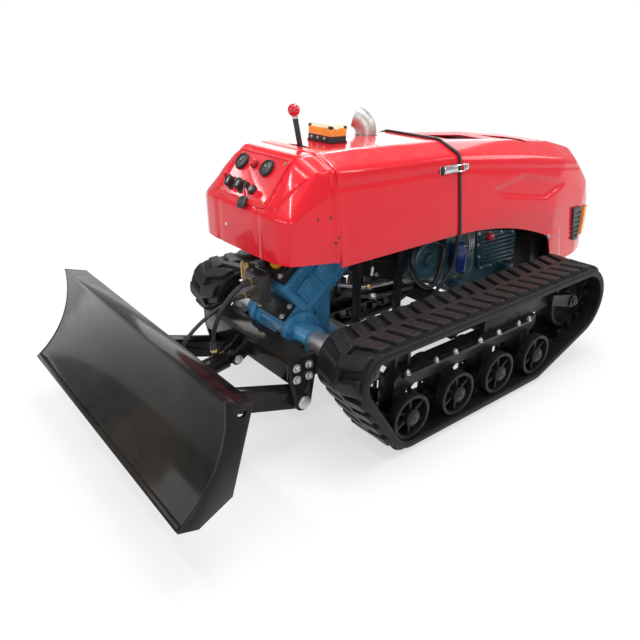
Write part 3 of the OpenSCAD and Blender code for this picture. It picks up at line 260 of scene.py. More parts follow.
# Finishes: colour and second shade in linear light, roughness, coat, scales of mottle and grain, bump, dust
# (on the tracks partly painted sheen)
finishes = {
    "redPaint": ((0.75, 0.011, 0.026), (0.67, 0.008, 0.018), 0.24, 0.5, 3, 260, 0.015, 0.05),
    "bluePaint": ((0.050, 0.255, 0.480), (0.030, 0.175, 0.345), 0.38, 0.2, 9, 420, 0.12, 0.16),
    # on bladeBlack the brownish second shade in broad mottle is painted reflection: its lighter patches stand
    # in for the room's brown reflections in the blade
    "bladeBlack": ((0.0036, 0.0036, 0.004), (0.026, 0.0225, 0.019), 0.14, 0.03, 2.4, 160, 0.04, 0.05),
    "frameBlack": ((0.007, 0.0067, 0.0065), (0.014, 0.0125, 0.011), 0.4, 0.05, 8, 350, 0.08, 0.22),
    "castBlack": ((0.006, 0.006, 0.0065), (0.013, 0.012, 0.011), 0.5, 0, 14, 520, 0.22, 0.1),
    # on the tracks the dust grey on up-facing faces is partly painted sheen: it stands in for the grey
    # highlights of the lug tops and the upper run
    "trackRubber": ((0.0045, 0.0045, 0.005), (0.010, 0.010, 0.0105), 0.5, 0, 18, 300, 0.25, 0.10),
    "lugRubber": ((0.0050, 0.0050, 0.0055), (0.014, 0.014, 0.0145), 0.44, 0, 34, 200, 0.45, 0.24),
    "engineTeal": ((0.030, 0.094, 0.124), (0.016, 0.048, 0.064), 0.38, 0.15, 12, 420, 0.2, 0.28),
    "filterBlue": ((0.008, 0.03, 0.17), (0.006, 0.02, 0.11), 0.3, 0.4, 6, 300, 0.03, 0.08),
    "steel": ((0.55, 0.55, 0.56), (0.38, 0.38, 0.39), 0.32, 0, 40, 900, 0.06, 0.06),
    "aluminium": ((0.60, 0.59, 0.57), (0.46, 0.45, 0.43), 0.46, 0, 14, 500, 0.08, 0.05),
    "chrome": ((0.72, 0.73, 0.74), (0.66, 0.67, 0.68), 0.1, 0, 20, 800, 0.02, 0.02),
    "darkMetal": ((0.03, 0.03, 0.031), (0.05, 0.047, 0.044), 0.45, 0, 12, 450, 0.12, 0.22),
    "goldZinc": ((0.55, 0.36, 0.12), (0.40, 0.30, 0.14), 0.34, 0, 60, 700, 0.06, 0.05),
    "yellowPlastic": ((0.80, 0.36, 0.012), (0.70, 0.28, 0.008), 0.38, 0.1, 20, 600, 0.06, 0.04),
    "blackPlastic": ((0.011, 0.011, 0.0115), (0.02, 0.02, 0.02), 0.36, 0.1, 16, 900, 0.06, 0.08),
    "amberLens": ((0.90, 0.33, 0.020), (0.82, 0.26, 0.012), 0.14, 0.5, 10, 300, 0.02, 0.02),
    "greyPlastic": ((0.045, 0.045, 0.046), (0.06, 0.06, 0.06), 0.5, 0, 16, 900, 0.1, 0.1),
    "hoseRubber": ((0.012, 0.012, 0.0125), (0.022, 0.021, 0.02), 0.45, 0, 60, 1500, 0.12, 0.1),
    "redPlastic": ((0.62, 0.012, 0.03), (0.52, 0.008, 0.02), 0.2, 0.4, 10, 600, 0.02, 0.02),
    "paleLens": ((0.84, 0.76, 0.58), (0.80, 0.68, 0.46), 0.22, 0.4, 10, 400, 0.02, 0.02),
    "whitePlastic": ((0.80, 0.79, 0.77), (0.70, 0.69, 0.66), 0.45, 0, 10, 600, 0.04, 0.06),
}
metals = {"steel": 1, "aluminium": 0.9, "chrome": 1, "goldZinc": 0.85}
shines = {"redPaint": 0.15, "bladeBlack": 0.13, "frameBlack": 0.3, "castBlack": 0.26,
          "trackRubber": 0.22, "lugRubber": 0.22}
plainShine, coatRough, bumpDepth = 0.5, 0.06, 0.002
shineBreak, dustDull = (0.82, 1.22), 0.3    # shares of the roughness, and what dust adds
scratches = {"bladeBlack": (0.070, 0.065, 0.060, 1)}
scratchStretch = (5, 240, 240)    # long across the blade
# grey of the dust, which on the tracks also serves as painted sheen
dustAndSheenColour = (0.17, 0.160, 0.148, 1)


def finish(name):
    made = bpy.data.materials.get(name)
    if made:
        return made
    colour, shade, rough, coat, mottle, grain, bumpStrength, dustAndSheen = finishes[name]
    material = bpy.data.materials.new(name)
    material.use_nodes = True
    tree = material.node_tree
    make, link = tree.nodes.new, tree.links.new
    shader = tree.nodes["Principled BSDF"]
    place = make("ShaderNodeTexCoord").outputs["Object"]

    def noise(scale, detail, fine, where=place):
        n = make("ShaderNodeTexNoise")
        setInputs(n, {"Scale": scale, "Detail": detail, "Roughness": fine})
        link(where, n.inputs["Vector"])
        return n.outputs["Fac"]

    def ramp(source, low, high, lowColour=(0, 0, 0, 1), highColour=(1, 1, 1, 1)):
        n = make("ShaderNodeValToRGB")
        for end, position, tint in zip(n.color_ramp.elements, (low, high), (lowColour, highColour)):
            end.position = position
            end.color = tint
        link(source, n.inputs["Fac"])
        return n.outputs["Color"]

    def product(a, b):
        n = make("ShaderNodeMath")
        n.operation = "MULTIPLY"
        link(a, n.inputs[0])
        if isinstance(b, float):
            n.inputs[1].default_value = b
        else:
            link(b, n.inputs[1])
        return n.outputs["Value"]

    def blend(share, under, over):
        n = make("ShaderNodeMix")
        n.data_type = "RGBA"
        link(share, n.inputs["Factor"])
        link(under, n.inputs["A"])
        n.inputs["B"].default_value = over
        return n.outputs["Result"]

    tone = ramp(noise(mottle, 5, 0.6), 0.35, 0.68, (*colour, 1), (*shade, 1))
    # dust settles where the surface looks up and the fine noise lets it; on the tracks this grey is partly
    # painted sheen, standing in for the highlights of the lug tops and the upper run
    split = make("ShaderNodeSeparateXYZ")
    link(make("ShaderNodeNewGeometry").outputs["Normal"], split.inputs["Vector"])
    specks = ramp(noise(mottle * 6, 8, 0.72), 0.42, 0.72)
    dustAndSheenMask = product(ramp(split.outputs["Z"], 0.25, 0.95), specks)
    tone = blend(product(dustAndSheenMask, dustAndSheen), tone, dustAndSheenColour)
    if name in scratches:    # fine marks along the width, from earth and stones
        stretch = make("ShaderNodeMapping")
        setInputs(stretch, {"Scale": scratchStretch})
        link(place, stretch.inputs["Vector"])
        marks = ramp(noise(1, 4, 0.7, stretch.outputs["Vector"]), 0.62, 0.72)
        patches = ramp(noise(3, 3, 0.6), 0.5, 0.7)
        tone = blend(product(marks, patches), tone, scratches[name])
    link(tone, shader.inputs["Base Color"])
    # the shine breaks up a little with the same specks
    spread = make("ShaderNodeMapRange")
    dullest = min(1, rough * shineBreak[1] + dustAndSheen * dustDull)
    setInputs(spread, {"To Min": rough * shineBreak[0], "To Max": dullest})
    link(specks, spread.inputs["Value"])
    link(spread.outputs["Result"], shader.inputs["Roughness"])
    bump = make("ShaderNodeBump")
    setInputs(bump, {"Strength": bumpStrength, "Distance": bumpDepth})
    link(noise(grain, 3, 0.6), bump.inputs["Height"])
    link(bump.outputs["Normal"], shader.inputs["Normal"])
    setInputs(shader, {"Metallic": metals.get(name, 0), "Specular IOR Level": shines.get(name, plainShine),
                       "Coat Weight": coat, "Coat Roughness": coatRough})
    return material


# Hydraulic hoses: the same routes as the solids, from the cylinder's ports to the valve
hoses = {
    "base": {"radius": 8, "node": "hose_base", "route": [
        (0, -752, 296), (0, -754.5, 311.8), (0.3, -755.9, 328.8), (1.1, -755, 346.8), (2.3, -752.1, 365.3),
        (3.9, -747.2, 384.1), (5.7, -740.6, 402.9), (7.7, -732.3, 421.4), (9.9, -722.7, 439.2),
        (12.1, -711.7, 456.1), (14.3, -699.6, 471.7), (16.3, -686.6, 485.8), (18.1, -672.8, 498),
        (19.7, -658.4, 508), (20.9, -643.5, 515.6), (21.7, -628.3, 520.3), (22, -613, 522), (22, -605, 522)]},
    "rod": {"radius": 6.5, "node": "hose_rod", "route": [
        (0, -881, 276), (0, -883.5, 291.8), (-1.6, -883.9, 305.7), (-3.2, -880.9, 319.5),
        (-4.9, -874.9, 333.1), (-6.5, -866.1, 346.4), (-8.2, -854.8, 359.4), (-9.9, -841.4, 371.9),
        (-11.5, -826, 384), (-13, -809, 395.4), (-14.5, -790.6, 406.2), (-15.9, -771.2, 416.1),
        (-17.2, -751.1, 425.3), (-18.4, -730.5, 433.4), (-19.4, -709.7, 440.6), (-20.3, -689, 446.6),
        (-21, -668.7, 451.5), (-21.6, -649, 455), (-21.9, -630.4, 457.2), (-22, -613, 458),
        (-22, -605, 458)]},
}


def makeHose(name, hose):
    path = smoothPath([mm(*p) for p in hose["route"]], 4)
    r = hose["radius"]
    sleeve = [(r * 0.9, 8), (r * 1.5, 8), (r * 1.55, 11), (r * 1.55, 34), (r * 1.3, 37), (r * 0.9, 37)]
    nut = [(r * 1.1, 0.5), (r * 1.75, 0.5), (r * 1.85, 2), (r * 1.85, 9), (r * 1.6, 10.5)]
    obj = meshObject("hose." + name, *tube(path, lambda t: r / 1000, 16))
    obj.data.materials.append(finish("hoseRubber"))
    ends = (("port", "cylinder_barrel", path[0], path[6]), ("valve", "chassis", path[-1], path[-7]))
    for tag, body, low, high in ends:
        pile = heap()
        spot = aim(low, high - low)
        addLathe(pile, spot, sleeve)
        addLathe(pile, spot, nut, 1, 6)
        heapObject(pile, f"hose.{name}.{tag}", ("darkMetal", "goldZinc"), body)
    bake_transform(obj)
    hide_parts(hose["node"])


for hoseName, hose in hoses.items():
    makeHose(hoseName, hose)
print("stage 2: camera and hoses")


# Bonnet panels: the hull of a ring of balls, softened, pressed and cut like sheet metal
surfaces = {}    # finished panels, for setting small pieces on them
ballPoints = 90


def ballCloud(centres, r):
    golden = math.pi * (3 - math.sqrt(5))
    cloud = []
    for k in range(ballPoints):
        z = 1 - 2 * (k + 0.5) / ballPoints
        q = math.sqrt(1 - z * z)
        cloud.append(Vector((math.cos(golden * k) * q, math.sin(golden * k) * q, z)) * r)
    return [Vector((s * c[0], c[1], c[2])) + p for c in centres for s in (1, -1) for p in cloud]


def cutter(outline, low, high, across):
    # an outline in y and z run across the machine, or in x and y run upward
    n = len(outline)
    ends = [(a, b, c) for c in (low, high) for a, b in outline]
    verts = [(c, a, b) for a, b, c in ends] if across else ends
    faces = [tuple(range(n)), tuple(range(2 * n - 1, n - 1, -1))]
    faces += [(k, (k + 1) % n, n + (k + 1) % n, n + k) for k in range(n)]
    obj = meshObject("cutter", verts, faces, False)
    outward(obj)
    return obj


def sideCut(outline):
    return cutter(outline, -0.5, 0.5, True)


def topCut(outline, low):
    return cutter(outline, low, 1.2, False)


def block(yLow, yHigh, zLow, zHigh):
    return [(yLow, zLow), (yHigh, zLow), (yHigh, zHigh), (yLow, zHigh)]


def hullObject(name, points):
    mesh = bmesh.new()
    for p in points:
        mesh.verts.new(p)
    hull = bmesh.ops.convex_hull(mesh, input=mesh.verts)
    spare = [v for v in hull["geom_interior"] if isinstance(v, bmesh.types.BMVert)]
    bmesh.ops.delete(mesh, geom=list(set(spare)), context="VERTS")
    data = bpy.data.meshes.new(name)
    mesh.to_mesh(data)
    mesh.free()
    return linked(name, data)


def pressedShell(name, form, centres, press, cutters, body, node):
    obj = hullObject(name, ballCloud(centres, form["r"]))
    modify(obj, "REMESH", mode="VOXEL", voxel_size=form["voxel"])
    modify(obj, "SMOOTH", factor=0.5, iterations=form["rounds"])
    applyAll(obj)
    count = len(obj.data.vertices)
    co, no = np.zeros(count * 3), np.zeros(count * 3)
    obj.data.vertices.foreach_get("co", co)
    obj.data.vertex_normals.foreach_get("vector", no)
    co, no = co.reshape(-1, 3), no.reshape(-1, 3)
    obj.data.vertices.foreach_set("co", (co + no * press(co, no)[:, None]).ravel())
    obj.data.update()
    modify(obj, "SOLIDIFY", thickness=bonnet["skin"], offset=-1)
    applyAll(obj)
    for tool in cutters:
        modify(obj, "BOOLEAN", operation="DIFFERENCE", solver="EXACT", object=tool)
        applyAll(obj)
        bpy.data.objects.remove(tool)
    obj.data.materials.clear()
    obj.data.materials.append(finish("redPaint"))
    obj.data.polygons.foreach_set("material_index", [0] * len(obj.data.polygons))
    obj.data.shade_smooth()
    surfaces[name] = BVHTree.FromPolygons([v.co.copy() for v in obj.data.vertices],
                                          [tuple(p.vertices) for p in obj.data.polygons])
    roundByAngle(obj, 40)
    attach(obj, body)
    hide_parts(node)
    print("  panel", name, len(obj.data.polygons), "faces")


def onSurface(name, start, direction):
    place, normal = surfaces[name].ray_cast(Vector(start), Vector(direction))[:2]
    return place, normal if normal.dot(Vector(direction)) < 0 else -normal


def ease(t):
    t = np.clip(t, 0, 1)
    return t * t * (3 - 2 * t)


def bell(t):
    return np.exp(-t ** 2)


def insideDepth(points, outline):
    # distance of each point inside a convex outline, negative outside
    depth = np.full(len(points), 9.0)
    for (ax, ay), (bx, by) in zip(outline, outline[1:] + outline[:1]):
        dx, dy = bx - ax, by - ay
        depth = np.minimum(depth, (dx * (points[:, 1] - ay) - dy * (points[:, 0] - ax)) / math.hypot(dx, dy))
    return depth


bonnet = {"top": 0.945, "rearTop": 0.924, "flat": 0.150, "half": 0.270, "shoulder": 0.238,
          "drop": 0.055, "cowlSeam": -0.420, "rearSeam": 0.149, "skirt": 0.600, "skin": 0.004,
          "gap": 0.0003, "sealHalf": 0.004}


def crownZ(y):
    share = (y - bonnet["cowlSeam"]) / (bonnet["rearSeam"] - bonnet["cowlSeam"])
    return bonnet["top"] + (bonnet["rearTop"] - bonnet["top"]) * share


def section(y, r, low):
    return [(bonnet["flat"] - r * 0.8, y, crownZ(y) - r),
            (bonnet["shoulder"] - r, y, crownZ(y) - bonnet["drop"]),
            (bonnet["half"] - r, y, bonnet["skirt"] + 0.02), (bonnet["half"] - r, y, low)]


# Middle bonnet, with its lever slot and exhaust hole
middle = {"r": 0.020, "voxel": 0.0070, "rounds": 14, "low": 0.53, "spare": 0.06,
          "slot": (0.010, -0.393, 0.056, 0.018), "exhaust": (-0.100, 0.004, 0.045),
          "line": (0.850, 0.0235), "lineDeep": 0.0030, "lineWide": 0.0060, "bead": (0.008, 0.0028, 0.0055)}


def pressMiddle(co, no):
    # pressed line along the side, on a level with the rear bonnet's, and a bead behind the front edge
    high, fall = middle["line"]
    lineZ = high - (co[:, 1] - bonnet["cowlSeam"]) * fall
    groove = middle["lineDeep"] * bell((co[:, 2] - lineZ) / middle["lineWide"])
    back, proud, wide = middle["bead"]
    bead = proud * bell((co[:, 1] - bonnet["cowlSeam"] - back) / wide)
    return bead - np.where(np.abs(no[:, 0]) > 0.5, groove, 0)


def makeMiddleBonnet():
    r, low, spare = middle["r"], middle["low"], middle["spare"]
    front, rearEdge = bonnet["cowlSeam"], bonnet["rearSeam"] - bonnet["sealHalf"] - bonnet["gap"]
    centres = section(front - spare, r, low) + section(bonnet["rearSeam"] + spare, r, low)
    sx, sy, halfX, halfY = middle["slot"]
    slotShape = [(sx + math.cos(a) * halfX * (0.75 + 0.25 * abs(math.cos(a))), sy + math.sin(a) * halfY)
                 for a in circle(40)]
    ex, ey, er = middle["exhaust"]
    ring = [(ex + er * math.cos(a), ey + er * math.sin(a)) for a in circle(40)]
    cutters = [sideCut(block(-1, front, 0.3, 1.3)), sideCut(block(rearEdge, 1, 0.3, 1.3)),
               sideCut(block(-1, 1, 0.3, bonnet["skirt"])), topCut(slotShape, 0.85), topCut(ring, 0.85)]
    pressedShell("bonnet.middle", middle, centres, pressMiddle, cutters, "chassis", "middle_bonnet")


makeMiddleBonnet()


# Front cowl with its sloping face
cowl = {"front": -0.635, "r": 0.016, "voxel": 0.0055, "rounds": 18, "panelHalf": 0.144, "panelLow": 0.786,
        "bow": 0.022, "low": 0.640, "inset": 0.005, "bottom": 0.56, "crease": (0.118, 0.0020, 0.014),
        "turnUp": (0.022, 0.010), "rib": [(0.130, 0.802), (0.184, 0.802), (0.214, 0.886), (0.150, 0.920)],
        "ribHigh": 0.004, "ribEdge": 0.008}
cowl["foot"] = (cowl["front"] + cowl["r"], cowl["panelLow"] - 0.011)
cowl["head"] = (cowl["front"] + 0.142, bonnet["top"] - 0.017)
cowl["slope"] = math.atan2(cowl["head"][1] - cowl["foot"][1], cowl["head"][0] - cowl["foot"][0])
onPanel = Matrix.Translation((0, *cowl["foot"])) @ Matrix.Rotation(cowl["slope"], 4, "X") \
    @ Matrix.Translation((0, 0, cowl["r"]))


def pressCowl(co, no):
    # a crease either side of the front, the edge turned up at the seam, a raised rib on the shoulder
    side = np.abs(co[:, 0])
    place, deep, wide = cowl["crease"]
    out = np.where(no[:, 1] < -0.6, -deep * bell((side - place) / wide), 0)
    start, run = cowl["turnUp"]
    out += cowl["inset"] * 0.9 * ease((co[:, 1] - bonnet["cowlSeam"] + start) / run)
    shoulder = (no[:, 2] > 0.25) & (no[:, 1] < -0.3) & (side > 0.15)
    depth = insideDepth(np.stack([side, co[:, 2]], 1), cowl["rib"])
    return out + np.where(shoulder, cowl["ribHigh"] * ease(depth / cowl["ribEdge"] + 0.5), 0)


def makeCowl():
    r, half, bow, inset, bottom = (cowl[k] for k in ("r", "panelHalf", "bow", "inset", "bottom"))
    footY, footZ = cowl["foot"]
    headY, headZ = cowl["head"]
    seam, low, front = bonnet["cowlSeam"], cowl["low"], cowl["front"]
    back = seam + 0.085
    corner = bonnet["half"] - 2 * r - 0.002
    bend, bendY = corner - 0.034, footY + bow / 3
    under = r + inset
    centres = [(half, footY, bottom), (half, footY, footZ), (bend, bendY, bottom),
               (bend, bendY, footZ - 0.002), (corner, footY + bow, bottom),
               (corner + 0.002, footY + bow, footZ - 0.004), (half, headY, headZ),
               (bonnet["shoulder"] - 0.026, headY + 0.016, bonnet["top"] - 0.053),
               (bonnet["flat"] - 0.012, back, crownZ(back) - under),
               (bonnet["shoulder"] - under, back, crownZ(back) - bonnet["drop"] - 0.002),
               (bonnet["half"] - under, back, bonnet["skirt"] + 0.04), (bonnet["half"] - under, back, bottom)]
    ahead, behind = front - 0.09, seam + 0.2
    skirtLine = [(ahead, 0.4), (behind, 0.4), (behind, low - 0.046), (seam, low - 0.024),
                 (front + 0.025, low), (ahead, low)]
    cutters = [sideCut(block(seam - bonnet["gap"], 1, 0.3, 1.3)), sideCut(skirtLine)]
    pressedShell("bonnet.cowl", cowl, centres, pressCowl, cutters, "chassis", "front_cowl")


makeCowl()


# Rear bonnet with its nose, arch, leaf and top openings
rear = {"r": 0.024, "voxel": 0.0085, "rounds": 16, "nose": 1.205, "low": 0.322, "bottom": 0.280,
        "archY": 0.740, "archDrop": 0.115, "legFoot": (0.800, 0.360), "leafDeep": 0.0070, "leafEdge": 0.014,
        "leaf": [(0.364, 0.735), (0.410, 0.703), (0.703, 0.650), (0.872, 0.689), (0.564, 0.758)],
        "line": (0.834, 0.171, 0.12), "lineDeep": 0.0022, "lineWide": 0.006, "lineEnd": 1.1,
        "legTop": 0.50, "legLine": (0.848, 0.499, 0.375), "lip": 0.004}
rear["wallA"] = (bonnet["half"] - rear["r"], 0.775)
rear["cornerA"] = (0.204, rear["nose"] - 0.139)
rear["cornerB"] = (0.172, rear["nose"] - 0.047)


def pressRear(co, no):
    # the leaf pressed in, a line under the shoulder and a raised lip down the leg of the arch
    y, z = co[:, 1], co[:, 2]
    out = -rear["leafDeep"] * ease(insideDepth(co[:, 1:], rear["leaf"]) / rear["leafEdge"] + 0.5)
    high, start, fall = rear["line"]
    lineZ = high - (y - start) * fall
    out -= np.where(y < rear["lineEnd"], rear["lineDeep"] * bell((z - lineZ) / rear["lineWide"]), 0)
    legY, legZ, slope = rear["legLine"]
    inLeg = ease((legY + (legZ - z) * slope - y) / 0.012 + 0.5)
    out += rear["lip"] * ease((rear["legTop"] - z) / 0.02) * inLeg
    return np.where(np.abs(no[:, 0]) > 0.5, out, 0)


def airOpening(x, y, w, length, skew):
    low, high, step = x - w / 2, x + w / 2, 0.008
    return [(low, y), (high, y - step), (high + skew, y + length - step), (low + skew, y + length)]


def makeRearBonnet():
    r, nose, bottom = rear["r"], rear["nose"], rear["bottom"]
    shoulder, flat = bonnet["shoulder"], bonnet["flat"]
    seam, archY, skirt = bonnet["rearSeam"], rear["archY"], bonnet["skirt"] - 0.002
    centres = section(seam - 0.08, r, bottom) + [
        (flat - 0.020, 0.575, 0.863), (shoulder - r, 0.575, 0.815), (flat - 0.024, 0.864, 0.826),
        (shoulder - r - 0.008, 0.864, 0.772), (*rear["wallA"], 0.600), (*rear["wallA"], bottom),
        (0.120, nose - 0.179, 0.786), (0.186, nose - 0.219, 0.752), (0.120, nose - 0.097, 0.724),
        (0.182, nose - 0.098, 0.650), (*rear["cornerA"], 0.600), (*rear["cornerA"], bottom),
        (0.118, nose - 0.046, 0.640), (0.110, nose - r, 0.545), (0.110, nose - r, bottom),
        (*rear["cornerB"], 0.560), (*rear["cornerB"], bottom)]
    shares = [k / 24 for k in range(25)]
    arch = [(seam + t * (archY - seam), skirt - rear["archDrop"] * t ** 2) for t in shares]
    endY, endZ = arch[-1]
    footY, footZ = rear["legFoot"]
    arch += [(endY + 0.010, endZ - 0.006), (endY + 0.016, endZ - 0.016), (footY, footZ),
             (footY, 0.2), (0, 0.2), (0, skirt)]
    cutters = [sideCut(block(-1, seam + bonnet["sealHalf"] + bonnet["gap"], 0, 1.3)),
               sideCut(block(-1, 2, 0, rear["low"])), sideCut(arch),
               topCut(airOpening(0.020, 0.262, 0.130, 0.190, 0.025), 0.7),
               topCut(airOpening(0.057, 0.552, 0.126, 0.140, 0.030), 0.7)]
    pressedShell("bonnet.rear", rear, centres, pressRear, cutters, "engine_bonnet", "rear_bonnet")


makeRearBonnet()
print("stage 3: bonnet panels")


# Rubber tracks: belt, swept lugs in two staggered rows that bend with the belt, guide horns inside
track = {"inner": 0.310, "outer": 0.540, "belt": 0.028, "lug": 0.014, "pitch": 0.070, "lugLen": 0.046,
         "sweep": 0.034, "edge": 0.018, "overlap": 0.012, "chamfer": 0.006, "arcStep": 0.12, "runStep": 0.05,
         "hornLen": 0.026, "hornDrop": 0.027, "hornX": 0.052, "hornHalf": 0.008, "grooveHalf": 0.036,
         "rounds": [((-0.461, 0.318), 0.070), ((0.660, 0.268), 0.120), ((0.378, 0.125), 0.083),
                    ((-0.321, 0.125), 0.083)]}


def beltPath():
    rounds = track["rounds"]
    normals = []
    for (a, ra), (b, rb) in zip(rounds, rounds[1:] + rounds[:1]):
        d = Vector(b) - Vector(a)
        e, lean = d.normalized(), (ra - rb) / d.length
        normals.append(lean * e + math.sqrt(1 - lean * lean) * Vector((-e.y, e.x)))
    legs = []
    for i, (centre, r) in enumerate(rounds):
        n, before = normals[i], normals[i - 1]
        start = math.atan2(before.y, before.x)
        sweep = (start - math.atan2(n.y, n.x)) % (2 * math.pi)
        legs.append(("arc", Vector(centre), r, start, sweep, sweep * (r + track["belt"] / 2)))
        following, nextR = rounds[(i + 1) % len(rounds)]
        a, b = Vector(centre) + r * n, Vector(following) + nextR * n
        legs.append(("run", a, b, n, None, (b - a).length))
    total = sum(leg[5] for leg in legs)

    def at(s, off):
        s %= total
        for kind, a, b, c, d, length in legs:
            if s <= length:
                break
            s -= length
        if kind == "arc":
            angle = c - d * s / length
            return a + (b + off) * Vector((math.cos(angle), math.sin(angle)))
        return a + (b - a) * (s / length) + off * c

    stations, s = [], 0
    for kind, a, b, c, d, length in legs:
        n = max(2, round(d / track["arcStep"] if kind == "arc" else length / track["runStep"]))
        stations += [s + length * k / n for k in range(n)]
        s += length
    return at, total, stations


def makeTrack(name, side, node):
    at, total, stations = beltPath()
    a, b, t = track["inner"], track["outer"], track["belt"]
    mid, half, groove = (a + b) / 2, (b - a) / 2, track["grooveHalf"]
    pile = heap()

    def put(x, s, off):
        p = at(s, off)
        return Vector((side * x, p.x, p.y))

    profile = [(a + 0.004, 0), (mid - groove, 0), (mid - groove + 0.002, 0.004),
               (mid + groove - 0.002, 0.004), (mid + groove, 0), (b - 0.004, 0), (b - 0.001, 0.003),
               (b, 0.008), (b, 0.018), (b - 0.002, 0.024), (b - 0.007, t), (a + 0.007, t),
               (a + 0.002, 0.024), (a, 0.018), (a, 0.008), (a + 0.001, 0.003)]
    n, m = len(profile), len(stations)
    belt = [put(x, s, off) for s in stations for x, off in profile]
    addTo(pile, belt, [(i * n + k, i * n + (k + 1) % n, (i + 1) % m * n + (k + 1) % n, (i + 1) % m * n + k)
                       for i in range(m) for k in range(n)])
    inner, outer, c = -track["overlap"], half - track["edge"], track["chamfer"]

    def lean(v):
        return track["sweep"] * ((v - inner) / (outer - inner) - 0.5)

    def lugLoop(s0, row, inset, off):
        low, high, reach = inner + inset, outer - inset, track["lugLen"] / 2 - inset
        across = [low + c + (high - low - 2 * c) * k / 4 for k in range(5)]
        ring = [(v, reach) for v in across] + [(high, (reach - c) * k) for k in (1, 0, -1)]
        ring += [(v, -reach) for v in reversed(across)] + [(low, (reach - c) * k) for k in (-1, 0, 1)]
        return [put(mid + row * v, s0 + u + lean(v), t + off) for v, u in ring]

    def hornLoop(s0, row, shrink, off):
        wide, long = track["hornHalf"] - shrink * 0.8, track["hornLen"] / 2 - shrink
        corners = ((1, -1), (1, 0), (1, 1), (-1, 1), (-1, 0), (-1, -1))
        return [put(mid + row * track["hornX"] + dx * wide, s0 + du * long, off) for dx, du in corners]

    lugSteps = [(-0.003, -0.003), (-0.0005, 0.004), (0.0006, 0.009), (0.0022, 0.0126),
                (0.0055, track["lug"]), (0.011, 0.0132)]
    deep = track["hornDrop"]
    hornSteps = [(0, 0.003), (0.001, -deep * 0.7), (0.004, -deep * 0.95), (0.007, -deep)]
    count = round(total / track["pitch"])
    for k in range(count):
        for row in (-1, 1):
            s0 = (k + (row + 1) / 4) * total / count
            for loop, steps, mat in ((lugLoop, lugSteps, 1), (hornLoop, hornSteps, 0)):
                rings = [loop(s0, row, inset, off) for inset, off in steps]
                verts = [v for ring in rings for v in ring]
                addTo(pile, verts, ringFaces(len(rings), len(rings[0]), False), mat)
    heapObject(pile, name, ("trackRubber", "lugRubber"), "chassis", 38, node)


makeTrack("track.near", 1, "track_left")
makeTrack("track.far", -1, "track_right")
print("stage 4: tracks")


# Bolts and nuts
def hexBolt(pile, place, direction, width, height, mat=0, turn=0.3, stud=0.3):
    spot = aim(place, direction, turn)
    r = width / 2
    washer = [(r * 0.5, -0.5), (r * 1.45, -0.5), (r * 1.45, 1.2), (r * 1.35, 1.8), (r * 0.5, 1.8)]
    head = [(r * 0.94, 1.5), (r, 2.2), (r, height * 0.8), (r * 0.86, height), (r * 0.4, height)]
    tip = [(r * 0.5, height * 0.8), (r * 0.5, height * (1 + stud)), (r * 0.4, height * (1.1 + stud))]
    for profile, sides in ((washer, 20), (head, 6), (tip, 12)):
        addLathe(pile, spot, profile, mat, sides)


onCase = moved(0, -461, 318) @ turned(40, "X")
onBlade = moved(0, -585, 168) @ turned(-17.5, "X")
bolts = {
    "plateX": 277, "plateY": (-610, -560), "plateZ": (260, 302),
    "ledgeX": 488, "ledgeY": (-318, -181, -83, 52, 158, 280, 346), "ledgeZ": 275,
    "wheelY": (-321, -88, 145, 378), "wheelZ": 125, "hubX": 526, "hubNutX": 536, "hubRing": 19,
    "hubCap": [(30, -2), (30, 4), (27, 7.5), (21, 9.5), (16, 10)],
    # place, width, height and finish: pivots, cylinder ears, rear and front wheels
    "pins": [((288, -585, 168), 28, 9, 0), ((37, -683, 258), 22, 7, 0),
             ((489, 660, 268), 34, 11, 3), ((475, -461, 318), 40, 13, 3)],
    # on the gearbox: covers, edges, flange, and the feet with near x, far x, y and z
    "coverX": 94, "covers": [(99, 51), (99, 119), (157, 51), (157, 119),
                             (191, 45), (191, 113), (249, 45), (249, 113)],
    "edgeX": 90, "edgeY": range(98, 290, 38), "edgeZ": (7, 163),
    "flangeX": 76, "flangeY": (190, 236, 282), "flangeZ": 170,
    "feet": [(64, -70, 0, 84), (64, -70, 44, 84), (64, -74, 96, 200), (64, -74, 154, 200)],
    "crankX": 166, "crank": [(408, 527), (480, 519), (560, 507), (640, 494), (656, 450), (656, 400),
                             (648, 372), (580, 371), (510, 371), (445, 373), (424, 425), (412, 480)],
    "clevis": (36, -395, -80),
    # width and height of each kind
    "plateSize": (21, 11), "ledgeSize": (18, 12), "hubNut": (23, 7), "hubBolt": (7, 4), "coverSize": (12, 6),
    "edgeSize": (12, 7), "flangeSize": (14, 8), "footSize": (15, 8), "crankSize": (10, 6),
    "clevisSize": (22, 7),
}


def frameBolts(pile, side):
    out = Vector((side, 0, 0))
    for k, y in enumerate(bolts["plateY"]):
        for z in bolts["plateZ"]:
            hexBolt(pile, mm(side * bolts["plateX"], y, z), out, *bolts["plateSize"], 0, 0.3 + k)
    for (x, y, z), width, height, mat in bolts["pins"]:
        hexBolt(pile, mm(side * x, y, z), out, width, height, mat)
    for k, y in enumerate(bolts["ledgeY"]):
        place = mm(side * bolts["ledgeX"], y, bolts["ledgeZ"])
        hexBolt(pile, place, (0, 0, 1), *bolts["ledgeSize"], 0, 0.2 * k, 0.25)
    z, ring = bolts["wheelZ"], bolts["hubRing"]
    for y in bolts["wheelY"]:
        addLathe(pile, aim(mm(side * bolts["hubX"], y, z), out), bolts["hubCap"], 1, 32)
        hexBolt(pile, mm(side * bolts["hubNutX"], y, z), out, *bolts["hubNut"], 3, 0.1 + y)
        for k in range(6):    # small bolts round the wheel's hub
            a = math.radians(60 * k + 30)
            place = mm(side * bolts["hubX"], y + ring * math.cos(a), z + ring * math.sin(a))
            hexBolt(pile, place, out, *bolts["hubBolt"], 3)


